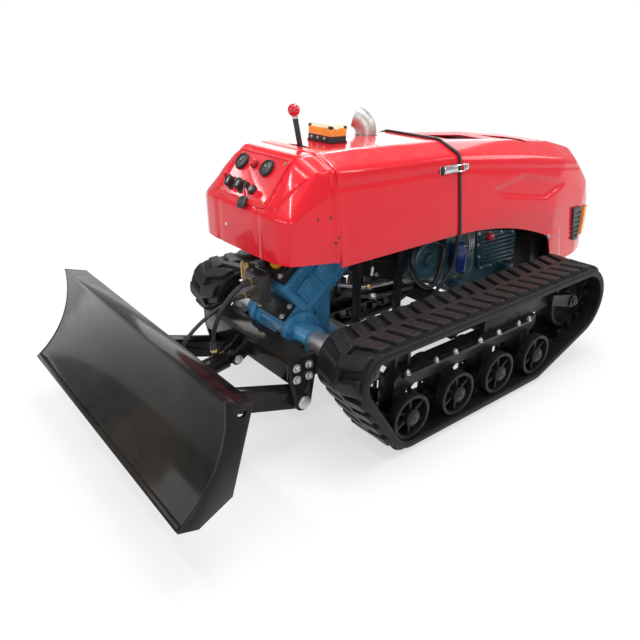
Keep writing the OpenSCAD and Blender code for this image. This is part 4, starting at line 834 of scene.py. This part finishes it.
def caseBolts(pile, side):
    out, up = onCase.to_3x3() @ Vector((side, 0, 0)), onCase.to_3x3() @ Vector((0, 0, 1))
    for y, z in bolts["covers"]:
        hexBolt(pile, onCase @ mm(side * bolts["coverX"], y, z), out, *bolts["coverSize"], 2)
    for y in bolts["edgeY"]:
        for z in bolts["edgeZ"]:
            hexBolt(pile, onCase @ mm(side * bolts["edgeX"], y, z), out, *bolts["edgeSize"], 2, y)
    for y in bolts["flangeY"]:
        place = onCase @ mm(side * bolts["flangeX"], y, bolts["flangeZ"])
        hexBolt(pile, place, up, *bolts["flangeSize"], 2, y)
    for near, far, y, z in bolts["feet"]:
        hexBolt(pile, onCase @ mm(near if side > 0 else far, y, z), up, *bolts["footSize"], 0, y)


def makeBolts():
    pile, bladePile = heap(), heap()    # 0 steel, 1 black casting, 2 gearbox paint, 3 dark metal
    for side in (1, -1):
        frameBolts(pile, side)
        caseBolts(pile, side)
        x, y, z = bolts["clevis"]
        hexBolt(bladePile, onBlade @ mm(side * x, y, z), (side, 0, 0), *bolts["clevisSize"])
    for y, z in bolts["crank"]:
        hexBolt(pile, mm(bolts["crankX"], y, z), (1, 0, 0), *bolts["crankSize"])
    looks = ("steel", "castBlack", "bluePaint", "darkMetal")
    heapObject(pile, "bolts.chassis", looks, "chassis", 30)
    heapObject(bladePile, "bolts.blade", ("steel",), "blade", 30)


makeBolts()


# Control panel: pressed plate with a bead round it, gauges, switches and the key with its fob
panel = {"halfW": 140, "halfV": 87, "mid": 101, "corner": 10, "face": 2.8, "gaugeR": 29,
         "gauges": [(-92, 140), (52, 140)], "button": (-22, 142), "rockers": [-80, -20], "row": 60,
         "toggle": (-116, 64), "key": (40, 60), "screws": (122, 32, 170), "fob": (-2, -50, 7.5),
         "keyRing": [(0, -8, 34), (8, -13, 31), (13, -24, 22), (10, -36, 15), (1, -40, 14),
                     (-7, -33, 16), (-9, -21, 23), (-5, -11, 31), (0, -8, 34)]}


def onFace(u, v):
    return onPanel @ moved(u, v, panel["face"])


def addGauge(pile, spot):
    g = panel["gaugeR"]
    rim = [(g - 4, 0), (g, 0), (g, 6), (g - 1.5, 10.5), (g - 4, 12.2), (g - 6.5, 11.5), (g - 7.8, 8)]
    addLathe(pile, spot, rim + [(g - 12, 7.4)], 0, 40)
    for k in range(13):    # every third mark is long
        mark = spot @ turned(-135 + 22.5 * k, "Z") @ moved(0, 15, 7.2)
        addStack(pile, mark, (0.6, 1.2 if k % 3 else 2.1, 0.3), [(0, 0), (0, 0.5)], 2, 1)
    needle = spot @ turned(58, "Z") @ moved(0, 5.5, 7.6)
    addStack(pile, needle, (0.8, 9, 0.4), [(0, 0), (0, 0.6)], 2, 1)
    addLathe(pile, spot, [(3, 7), (3, 8.8), (2, 9.2)], 0, 16)


def addSwitches(pile):
    at = onFace(*panel["button"])
    addLathe(pile, at, [(14, 0), (14.2, 3), (12, 4)], 0, 28)
    addLathe(pile, at, [(11.8, 3), (12.4, 6), (12.6, 15), (10.5, 18.5), (5, 19.8)], 1, 28)
    for u in panel["rockers"]:
        oval = onFace(u, panel["row"]) @ turned(10, "Z") @ Matrix.Diagonal((0.88, 1.2, 1, 1))
        addLathe(pile, oval, [(19, 0), (19.4, 4), (16.5, 7), (15.8, 18), (16.8, 22), (15.8, 25.5),
                              (12.5, 26.8), (10.2, 24.5), (9.5, 19)], 0, 36)
        addStack(pile, oval, (3, 8, 2.2), [(0, 18), (0, 24), (1, 25.5)], 3, 4)
    at = onFace(*panel["toggle"])
    addLathe(pile, at, [(9.2, 0), (9.4, 5), (6.2, 8)], 0, 6)
    addLathe(pile, at @ turned(-25, "X"), [(3.6, 5), (4, 10), (6.8, 15), (7.5, 24), (6.2, 30), (3, 32.5)], 1)


def addKey(pile):
    u, v = panel["key"]
    at = onFace(u, v)
    addLathe(pile, at, [(15.8, 0), (16, 4), (13.8, 8), (10, 9.2), (9, 8)], 0, 32)
    addLathe(pile, at, [(8, 7), (8.4, 10.5), (6, 11.2)], 3, 24)
    addStack(pile, at, (1.5, 5, 0.8), [(0, 9), (0, 22)], 3, 2)
    addStack(pile, at, (3.4, 11.5, 3), [(1, 19), (0, 20), (0, 34), (1, 36)], 0, 4)
    low = onPanel @ moved(u, v, 0)
    addTube(pile, panel["keyRing"], 1.3, 8, 3, 5, low)
    fob = low @ moved(*panel["fob"]) @ turned(22, "Z")
    addStack(pile, fob, (19, 20, 11), [(3, 0), (0.5, 2), (0, 6), (1.2, 10.5), (5, 13)])


def makePanel():
    pile = heap()
    bead = [(0, -2), (0, 2), (1.2, 4.2), (3.5, 5.6), (5.8, 5.6), (8, 4.2), (9.5, 3), (13, panel["face"])]
    size = [panel[k] for k in ("halfW", "halfV", "corner")]
    addStack(pile, onPanel @ moved(0, panel["mid"], 0), size, bead)
    heapObject(pile, "panel.plate", ("redPaint",), "chassis", 40, "control_panel")
    pile = heap()    # 0 black, 1 red, 2 white, 3 steel, 4 gold
    for u, v in panel["gauges"]:
        addGauge(pile, onFace(u, v))
    addSwitches(pile)
    addKey(pile)
    wide, low, high = panel["screws"]
    for u in (wide, -wide):
        for v in (low, high):
            addLathe(pile, onFace(u, v), [(5.6, -1), (5.8, 1), (4.6, 2.7), (2, 3.3)], 4)
    heapObject(pile, "panel.switches", ("blackPlastic", "redPlastic", "whitePlastic", "steel", "goldZinc"),
               "chassis", 36, "panel_switches")


makePanel()


# Warning lamp: dark base, amber band and a pale lid with dark corner clips
lamp = {"place": (-33, -238), "halfX": 66, "halfY": 40, "corner": 8, "base": 23, "band": 49, "top": 62,
        "screwX": (-40, -6, 30), "screwZ": 14, "screw": (7, 3)}


def onTop(x, y):
    fall = math.atan2(bonnet["top"] - bonnet["rearTop"], bonnet["rearSeam"] - bonnet["cowlSeam"])
    return moved(x, y, 1000 * crownZ(y / 1000)) @ Matrix.Rotation(-fall, 4, "X")


def makeLamp():
    at = onTop(*lamp["place"])
    hx, hy, r, base, band, top = (lamp[k] for k in ("halfX", "halfY", "corner", "base", "band", "top"))
    pile = heap()    # 0 black, 1 amber, 2 pale, 3 steel
    addStack(pile, at, (hx, hy, r), [(1, 0.3), (0, 2), (0, 6), (4, 7), (4, base - 2), (5, base)])
    addStack(pile, at, (hx - 3, hy - 3, r), [(2, base - 1), (0, base + 1), (0, band - 2), (1.2, band)], 1)
    lid = [(0, band - 0.5), (1, band + 2), (8, top - 2), (16, top), (20, top)]
    addStack(pile, at, (hx - 4, hy - 4, r), lid, 2)
    for sy in (1, -1):
        for sx in (1, -1):
            clip = at @ moved(sx * (hx - 12), sy * (hy - 11), band)
            addStack(pile, clip, (8.5, 7.5, 3), [(0, -4), (0, 3), (2, 6.5), (4, 7.2)], 0, 3)
        for u in lamp["screwX"]:
            out = at.to_3x3() @ Vector((0, sy, 0))
            hexBolt(pile, at @ mm(u, sy * (hy - 4), lamp["screwZ"]), out, *lamp["screw"], 3)
    looks = ("blackPlastic", "amberLens", "paleLens", "steel")
    heapObject(pile, "lamp.warning", looks, "chassis", 34, "warning_lamp")


makeLamp()


# Gear lever through its slot, leaning a little
lever = {"foot": (8, -397, 600.8), "slot": (15, -388, 935), "ferrule": (5.5, -401, 1030),
         "knob": (3, -404, 1056), "r": 8, "grip": 1.12, "knobR": 20}


def makeLever():
    pile = heap()    # 0 black, 1 red, 2 steel
    foot, slot, ferrule, knob, r = (lever[k] for k in ("foot", "slot", "ferrule", "knob", "knobR"))
    addTube(pile, (foot, slot), lever["r"], 18, 0, 2)
    addTube(pile, (slot, ferrule), lever["r"] * lever["grip"], 18, 0, 2)
    up = mm(*knob) - mm(*ferrule)
    addLathe(pile, aim(mm(*ferrule), up), [(7, -2), (9.8, 0), (10, 6), (8.2, 8), (7, 16), (6, 18)], 2)
    ball = [(r * math.sin(a), -r * math.cos(a)) for a in (math.radians(4 + 172 * k / 20) for k in range(21))]
    addLathe(pile, aim(mm(*knob), up), ball, 1, 32)
    looks = ("blackPlastic", "redPlastic", "steel")
    heapObject(pile, "lever.gear", looks, "chassis", 34, "gear_lever")


makeLever()


# Rubber seal between the bonnets, and the toggle latches across it
seam = {"r": 0.0058, "proud": 0.0030, "step": 0.010, "latchY": 0.092, "latchZ": 0.842,
        "latchHalf": 48, "hookY": 0.186}


def seamOutline(y, proud, low):
    r = rear["r"] + proud
    cloud = set()
    for x, cy, z in section(y, rear["r"], 0.5):
        for a in circle(90):
            cloud |= {(s * (x + r * math.cos(a)), z + r * math.sin(a)) for s in (1, -1)}

    def turnsLeft(a, b, p):
        return (b[0] - a[0]) * (p[1] - a[1]) >= (b[1] - a[1]) * (p[0] - a[0])

    hull = []
    for p in sorted(cloud):    # upper half of the outline, from one skirt to the other
        while len(hull) > 1 and turnsLeft(hull[-2], hull[-1], p):
            hull.pop()
        hull.append(p)
    upper = [p for p in hull if p[1] > low + 0.001]
    return [Vector((x, y, z)) for x, z in [(upper[0][0], low)] + upper + [(upper[-1][0], low)]]


def evenPath(points, step):
    out, left = [points[0]], step
    for a, b in zip(points, points[1:]):
        length, done = (b - a).length, 0
        while length - done >= left:
            done += left
            out.append(a.lerp(b, done / length))
            left = step
        left -= length - done
    return out + [points[-1]]


def onSide(y, z):
    # a place on the bonnet's side, its axes along the machine, up and out
    r = middle["r"]
    high = crownZ(y) - bonnet["drop"]
    lean = math.atan2(bonnet["half"] - bonnet["shoulder"], high - bonnet["skirt"] - r)
    drop = (high + r * math.sin(lean) - z) / math.cos(lean)
    face = bonnet["shoulder"] - r + r * math.cos(lean) + drop * math.sin(lean)
    lying = Matrix.Rotation(-lean, 4, "Y") @ turned(90, "Y") @ turned(90, "Z")
    return Matrix.Translation((face, y, z)) @ lying


def makeSeal():
    pile = heap()
    path = evenPath(seamOutline(bonnet["rearSeam"], seam["proud"], bonnet["skirt"]), seam["step"])
    addTo(pile, *tube(path, lambda t: seam["r"], 14))
    heapObject(pile, "bonnet.seal", ("hoseRubber",), "chassis", 50, "bonnet_seal")


def makeLatches():
    body, hook = heap(), heap()    # 0 chrome, 1 dark metal
    half, reach = seam["latchHalf"], 1000 * (seam["hookY"] - seam["latchY"])
    arm = [(half - 30, -10.5, 8.5), (half - 12, -11, 12), (half + 12, -11, 15),
           (reach - 12, -10.5, 10.5), (reach - 4, -6, 10)]
    bail = arm + [(reach - 3, 0, 10)] + [(u, -v, h) for u, v, h in reversed(arm)]
    for side in (1, -1):
        flip = Matrix.Diagonal((side, 1, 1, 1))
        at, catch = (flip @ onSide(seam[y], seam["latchZ"]) for y in ("latchY", "hookY"))
        addStack(body, at, (half, 14, 4), [(0, 0.6), (0, 2.6), (0.8, 3.2)], 0, 4)
        grip = at @ moved(4, 0, 0)
        addStack(body, grip, (half - 12, 9.5, 6), [(0, 3), (0, 8), (1.6, 10.8), (4, 11.8)], 0, 5)
        pin = at @ moved(12 - half, 0, 7.5) @ turned(90, "X")
        addLathe(body, pin, [(3.5, -15), (4.2, -14), (4.2, 14), (3.5, 15)], 1, 16)
        for u in (6 - half, half - 6):
            addLathe(body, at @ moved(u, 0, 0), [(4.2, 2), (4.2, 4.2), (2.8, 5.4)], 1, 16)
        addTube(body, bail, 2.2, 10, 0, 5, at)
        addStack(hook, catch, (13, 10, 3), [(0, -1), (0, 2.6), (0.8, 3.2)], 0, 4)
        addStack(hook, catch @ moved(-8, 0, 0), (2.8, 6.5, 1.5), [(0, 2), (0, 6.2), (0.4, 7)], 0, 3)
    heapObject(body, "latch.toggles", ("chrome", "darkMetal"), "chassis", 34, "latches")
    heapObject(hook, "latch.hooks", ("chrome",), "engine_bonnet", 34)


makeSeal()
makeLatches()


# Screws and small holes of the bonnet panels
fixings = {"sideHoles": [(-502, 767), (-452, 765), (-427, 701), (-439, 685)], "frontScrew": (-71, 706),
           "topScrews": [(120, -144), (117, -195)], "archBolt": (752, 478), "archSize": (13, 7)}


def makeFixings():
    pile, rearPile = heap(), heap()    # 0 black, 1 white, 2 steel
    x, z = fixings["frontScrew"]
    spot = aim(*onSurface("bonnet.cowl", mm(x, -900, z), (0, 1, 0)))
    addLathe(pile, spot, [(5.2, -1), (5.4, 1.2), (4, 3.2), (1.8, 3.8)], 1, 18)
    for side in (1, -1):
        for y, z in fixings["sideHoles"]:
            spot = aim(*onSurface("bonnet.cowl", mm(side * 500, y, z), (-side, 0, 0)))
            addLathe(pile, spot, [(4.2, -1), (4.4, 0.3), (3.6, 0.5)], 0, 16)
        for x, y in fixings["topScrews"]:
            spot = aim(*onSurface("bonnet.middle", mm(side * x, y, 1200), (0, 0, -1)))
            addLathe(pile, spot, [(6, -1), (6.2, 1), (4.8, 2.8), (2, 3.4)], 2, 18)
        y, z = fixings["archBolt"]
        spot = onSurface("bonnet.rear", mm(side * 600, y, z), (-side, 0, 0))
        hexBolt(rearPile, *spot, *fixings["archSize"])
    heapObject(pile, "bonnet.fixings", ("blackPlastic", "whitePlastic", "steel"), "chassis", 34)
    heapObject(rearPile, "bonnet.archBolts", ("steel",), "engine_bonnet", 30)


makeFixings()


# Engine bay: coolant pipe, conduit, plugs, injection pump and clutch rods
bay = {"coolantR": 9.5, "conduitR": 6.8, "tagR": 1.8, "pipeR": 3.2, "rodR": 6, "plugHigh": 12,
       "union": (10, 10), "tagLean": (0.06, 0.08, 1),
       "coolant": [(108, 190, 522), (150, 186, 522), (184, 172, 510), (190, 155, 440), (190, 118, 380),
                   (190, 60, 396), (190, 8, 456), (186, -4, 510), (164, 22, 545), (130, 62, 552),
                   (108, 90, 552)],
       "conduit": [(262, 150, 604), (256, 158, 570), (250, 164, 532), (246, 156, 460), (236, 116, 400),
                   (216, 82, 350), (192, 66, 300), (178, 62, 262)],
       "tag": [(200, -262, 694), (202, -250, 640), (203, -228, 575), (202, -221, 532)],
       "fillerPlug": (176, 465, 508), "plugs": [((150, 300, 350), 24), ((150, 360, 470), 18)],
       "pump": (150, 345, 420), "pipeY": (331, 345, 359),
       "rods": [(112, 402, 1, 6), (136, 372, 4, 1), (-124, 398, 1, 6)]}


def addPump(pile):
    pump = aim(mm(*bay["pump"]), (1, 0, 0))
    addStack(pile, pump, (30, 46, 10), [(0, -4), (0, 24), (5, 30), (12, 32)], 5, 5)
    for k, y in enumerate(bay["pipeY"]):
        pipe = [(176, y, 455), (182, y, 480), (176, y + 6, 520), (140, y + 20 + 12 * k, 572),
                (112, y + 30 + 14 * k, 590)]
        addTube(pile, pipe, bay["pipeR"], 8, 1)
        hexBolt(pile, mm(176, y, 452), (0.1, 0, 1), *bay["union"], 6)


def addClutchRods(pile):
    # from the gearbox back to the engine's cross bracket, each with a turnbuckle
    for x, z, mat, buckle in bay["rods"]:
        rod = [(x, -300, z + 60), (x + 6, -160, z + 20), (x, 40, z), (x - 14, 70, z)]
        addTube(pile, rod, bay["rodR"], 10, mat)
        spot = aim(mm(*rod[1]), (0, 1, -0.2))
        addLathe(pile, spot, [(10, -14), (11.5, -12), (11.5, 12), (10, 14)], buckle, 6)


def makeFittings():
    pile = heap()    # 0 rubber, 1 steel, 2 red, 3 white, 4 dark metal, 5 teal, 6 gold
    addTube(pile, bay["coolant"], bay["coolantR"], 14)
    for a, b in ((0, 1), (-1, -2)):    # clamps
        low, high = mm(*bay["coolant"][a]), mm(*bay["coolant"][b])
        addLathe(pile, aim(low, high - low), [(9.8, 12), (11.2, 12), (11.2, 20), (9.8, 20)], 1, 18)
    addTube(pile, bay["conduit"], lambda t: bay["conduitR"] * (1 + 0.05 * math.sin(t * 380)), 12)
    addTube(pile, bay["tag"], bay["tagR"], 8, 0, 5)
    tag = aim(mm(*bay["tag"][-1]), bay["tagLean"])
    addStack(pile, tag, (5.8, 4.5, 2), [(1.2, -26), (0, -24), (0, 4), (2, 7)], 3, 3)
    cap = aim(mm(*bay["fillerPlug"]), (1, 0, 0))
    addLathe(pile, cap, [(13, -8), (13, 2), (17, 3), (17.5, 12), (15, 16), (6, 16.5)], 2, 14)
    for place, width in bay["plugs"]:
        hexBolt(pile, mm(*place), (1, 0, 0), width, bay["plugHigh"], 6)
    addPump(pile)
    addClutchRods(pile)
    looks = ("hoseRubber", "steel", "redPlastic", "whitePlastic", "darkMetal", "engineTeal", "goldZinc")
    heapObject(pile, "engine.fittings", looks, "chassis", 36)


makeFittings()


# Sheet guard over the drive belts, on the engine's front case and the gearbox's bell
guard = {"outline": [(-300, 560), (-262, 598), (-200, 596), (64, 548), (64, 402), (20, 396),
                     (-90, 420), (-196, 470), (-284, 524)],
         "rings": [(-108, 4), (-104, 0), (72, 0), (76, 4)], "insetBefore": -100, "face": 76,
         "bolts": [(-230, 575), (-40, 540), (40, 530), (40, 420), (-80, 438), (-190, 492)],
         "ribs": [((-210, 560), (30, 512)), ((-170, 520), (36, 470))], "ribX": 75, "bolt": (12, 7)}


def makeGuard():
    pile = heap()
    verts = [mm(x, y + (inset if y < guard["insetBefore"] else 0), z)
             for x, inset in guard["rings"] for y, z in guard["outline"]]
    addTo(pile, verts, ringFaces(len(guard["rings"]), len(guard["outline"])))
    for y, z in guard["bolts"]:
        hexBolt(pile, mm(guard["face"], y, z), (1, 0, 0), *guard["bolt"], 1)
    out = Vector((1, 0, 0))
    for start, end in guard["ribs"]:
        a, b = Vector((guard["ribX"], *start)), Vector((guard["ribX"], *end))
        along = (b - a).normalized()
        spot = moved(*((a + b) / 2)) @ Matrix((along, out.cross(along), out)).transposed().to_4x4()
        addStack(pile, spot, ((b - a).length / 2, 9, 8), [(0, 0), (2, 4), (5, 6)], 0, 5)
    heapObject(pile, "drive.guard", ("castBlack", "steel"), "chassis", 30)


makeGuard()


# Baffles beside the radiator
baffle = {"place": (225, 838, 452), "boltX": 212, "boltY": 834, "boltZ": (340, 452, 560), "bolt": (12, 6)}


def makeBaffles():
    pile = heap()
    x, y, z = baffle["place"]
    for side in (1, -1):
        at = aim(mm(side * x, y, z), (0, -1, 0))
        addStack(pile, at, (23, 150, 6), [(1, -4), (0, -3), (0, 2), (1, 3)], 0, 4)
        addStack(pile, at, (9, 120, 5), [(0, 2), (2, 6), (4, 7)], 0, 4)
        for boltZ in baffle["boltZ"]:
            spot = mm(side * baffle["boltX"], baffle["boltY"], boltZ)
            hexBolt(pile, spot, (0, -1, 0), *baffle["bolt"], 1)
    heapObject(pile, "radiator.baffles", ("frameBlack", "steel"), "chassis", 34)


makeBaffles()
print("stage 5: small pieces")


# Finishes of the solids that stay as they are, each with the width of its rounded edges in millimetres
solidLooks = {
    "frameBlack": {"frame_rails": 3, "track_frame_left": 3, "track_frame_right": 3, "tensioners": 2,
                   "radiator": 2, "hydraulic_tank": 3, "pto_cover": 2, "bonnet_posts": 2},
    "bladeBlack": {"front_beam": 2.5, "pivot_plates": 1.2, "moldboard": 1.5, "cutting_edge": 1,
                   "blade_ends": 1.5, "blade_back": 1.5, "push_arms": 3, "lift_barrel": 1.5},
    "bluePaint": {"gearbox": 4, "gearbox_covers": 2, "axle_housings": 2},
    "castBlack": {"sprockets": 2, "road_wheels_left": 2, "road_wheels_right": 2, "idlers": 2},
    "engineTeal": {"engine_block": 5, "engine_cover": 2, "belt_guard": 2},
    "steel": {"pivot_pins": 2, "final_shafts": 2}, "darkMetal": {"control_valve": 2, "bonnet_hinge": 2},
    "filterBlue": {"oil_filter": 3}, "yellowPlastic": {"filler_cap": 1.5}, "goldZinc": {"linkage_rods": 1},
    "aluminium": {"exhaust_pipe": 0}, "amberLens": {"rear_lamps": 2}, "greyPlastic": {"side_vents": 0.8},
    "chrome": {"lift_rod": 1},
}
edgeLimit, flatLimit, weldReach = 30, 0.4, 0.00002    # degrees, degrees, metres


def dress(obj, look, width):
    obj.data.materials.clear()
    obj.data.materials.append(finish(look))
    custom = obj.data.attributes.get("custom_normal")
    if custom:
        obj.data.attributes.remove(custom)
    # flat faces are joined, so that the bevel runs clean round holes
    modify(obj, "WELD", merge_threshold=weldReach)
    modify(obj, "DECIMATE", decimate_type="DISSOLVE", angle_limit=math.radians(flatLimit))
    if width:
        modify(obj, "BEVEL", width=width / 1000, segments=2, limit_method="ANGLE",
               angle_limit=math.radians(edgeLimit), use_clamp_overlap=True)
    roundByAngle(obj, edgeLimit)


for look, widths in solidLooks.items():
    for nodeName, width in widths.items():
        dress(nodes[nodeName], look, width)
print("stage 6: solids dressed")


# Studio: pale floor, soft light from above and the sides
studio = {"floor": 40, "floorTone": 0.93, "floorRough": 0.8, "floorShine": 0.1, "skyLight": 0.42,
          "shadowShare": 0.40, "fade": (1.1, 2.6), "lamps": [
    ("overhead", (0.1, 0.1, 4.4), (0, 0.1, 0.4), (3.6, 2.4), 50),
    ("stripNear", (1.15, 0.9, 3.1), (0.2, 0.1, 0.8), (0.06, 4.6), 36),
    ("stripMiddle", (0.15, -1.9, 3.1), (0, -0.3, 0.8), (2.6, 0.06), 20),
    ("stripFar", (-0.7, 0.9, 3.2), (-0.1, 0.3, 0.8), (0.06, 4.4), 28),
    ("stripWall", (-3.1, -1.7, 2.5), (0, -0.5, 0.85), (1.7, 0.05), 5),
    ("farWall", (-3.3, 3.1, 2.2), (0, 0.2, 0.9), (4.2, 2.2), 55),
    ("nearSide", (4.4, -2.2, 2.2), (0, -0.2, 0.5), (2.6, 1.6), 46),
    ("bladeSide", (-0.6, -5.0, 2.4), (0, -0.8, 0.4), (3.2, 1.4), 44),
    ("rearEdge", (1.4, 4.4, 2.8), (0, 0.9, 0.7), (2.4, 1.2), 30)]}


def backdropMix(tree, plain, seen, output, extraRays=(), share=None):
    # the camera and see-through parts meet the white one, and what lights the object is the plain one
    make, link = tree.nodes.new, tree.links.new
    path, either = make("ShaderNodeLightPath"), make("ShaderNodeMixShader")
    steps = [("MAXIMUM", path.outputs[ray]) for ray in ("Is Transmission Ray", *extraRays)]
    if share:
        steps.append(("MULTIPLY", share))
    weight = path.outputs["Is Camera Ray"]
    for operation, source in steps:
        step = make("ShaderNodeMath")
        step.operation = operation
        link(weight, step.inputs[0])
        link(source, step.inputs[1])
        weight = step.outputs["Value"]
    link(weight, either.inputs["Fac"])
    link(plain, either.inputs[1])
    link(seen, either.inputs[2])
    link(either.outputs["Shader"], output)


def makeFloor():
    s, tone = studio["floor"], studio["floorTone"]
    floor = meshObject("floor", [(-s, -s, 0), (s, -s, 0), (s, s, 0), (-s, s, 0)], [(0, 1, 2, 3)], False)
    material = bpy.data.materials.new("paleFloor")
    material.use_nodes = True
    tree = material.node_tree
    make, link = tree.nodes.new, tree.links.new
    shader = tree.nodes["Principled BSDF"]
    setInputs(shader, {"Base Color": (tone, tone, tone, 1), "Roughness": studio["floorRough"],
                       "Specular IOR Level": studio["floorShine"]})
    white, place = make("ShaderNodeEmission"), make("ShaderNodeTexCoord")
    length, fade = make("ShaderNodeVectorMath"), make("ShaderNodeMapRange")
    length.operation = "LENGTH"    # the floor turns plain white away from the machine
    link(place.outputs["Object"], length.inputs[0])
    link(length.outputs["Value"], fade.inputs["Value"])
    near, far = studio["fade"]
    setInputs(fade, {"From Min": near, "From Max": far, "To Min": 1 - studio["shadowShare"]})
    surface = tree.nodes["Material Output"].inputs["Surface"]
    backdropMix(tree, shader.outputs["BSDF"], white.outputs["Emission"], surface, ("Is Glossy Ray",),
                fade.outputs["Result"])
    floor.data.materials.append(material)


def makeLights():
    for name, place, target, size, power in studio["lamps"]:
        light = bpy.data.lights.new(name, "AREA")
        light.shape = "RECTANGLE"
        light.size, light.size_y = size
        light.energy = power
        obj = linked(name, light)
        obj.location = place
        obj.rotation_euler = (Vector(target) - Vector(place)).to_track_quat("-Z", "Y").to_euler()
    world = bpy.data.worlds.new("studio")
    world.use_nodes = True
    tree = world.node_tree
    sky, seen = tree.nodes["Background"], tree.nodes.new("ShaderNodeBackground")
    setInputs(sky, {"Color": (1, 1, 1, 1), "Strength": studio["skyLight"]})
    setInputs(seen, {"Color": (1, 1, 1, 1)})
    surface = tree.nodes["World Output"].inputs["Surface"]
    backdropMix(tree, sky.outputs["Background"], seen.outputs["Background"], surface)
    scene.world = world
    scene.view_settings.view_transform = "Standard"


makeFloor()
makeLights()
print("stage 7: studio")
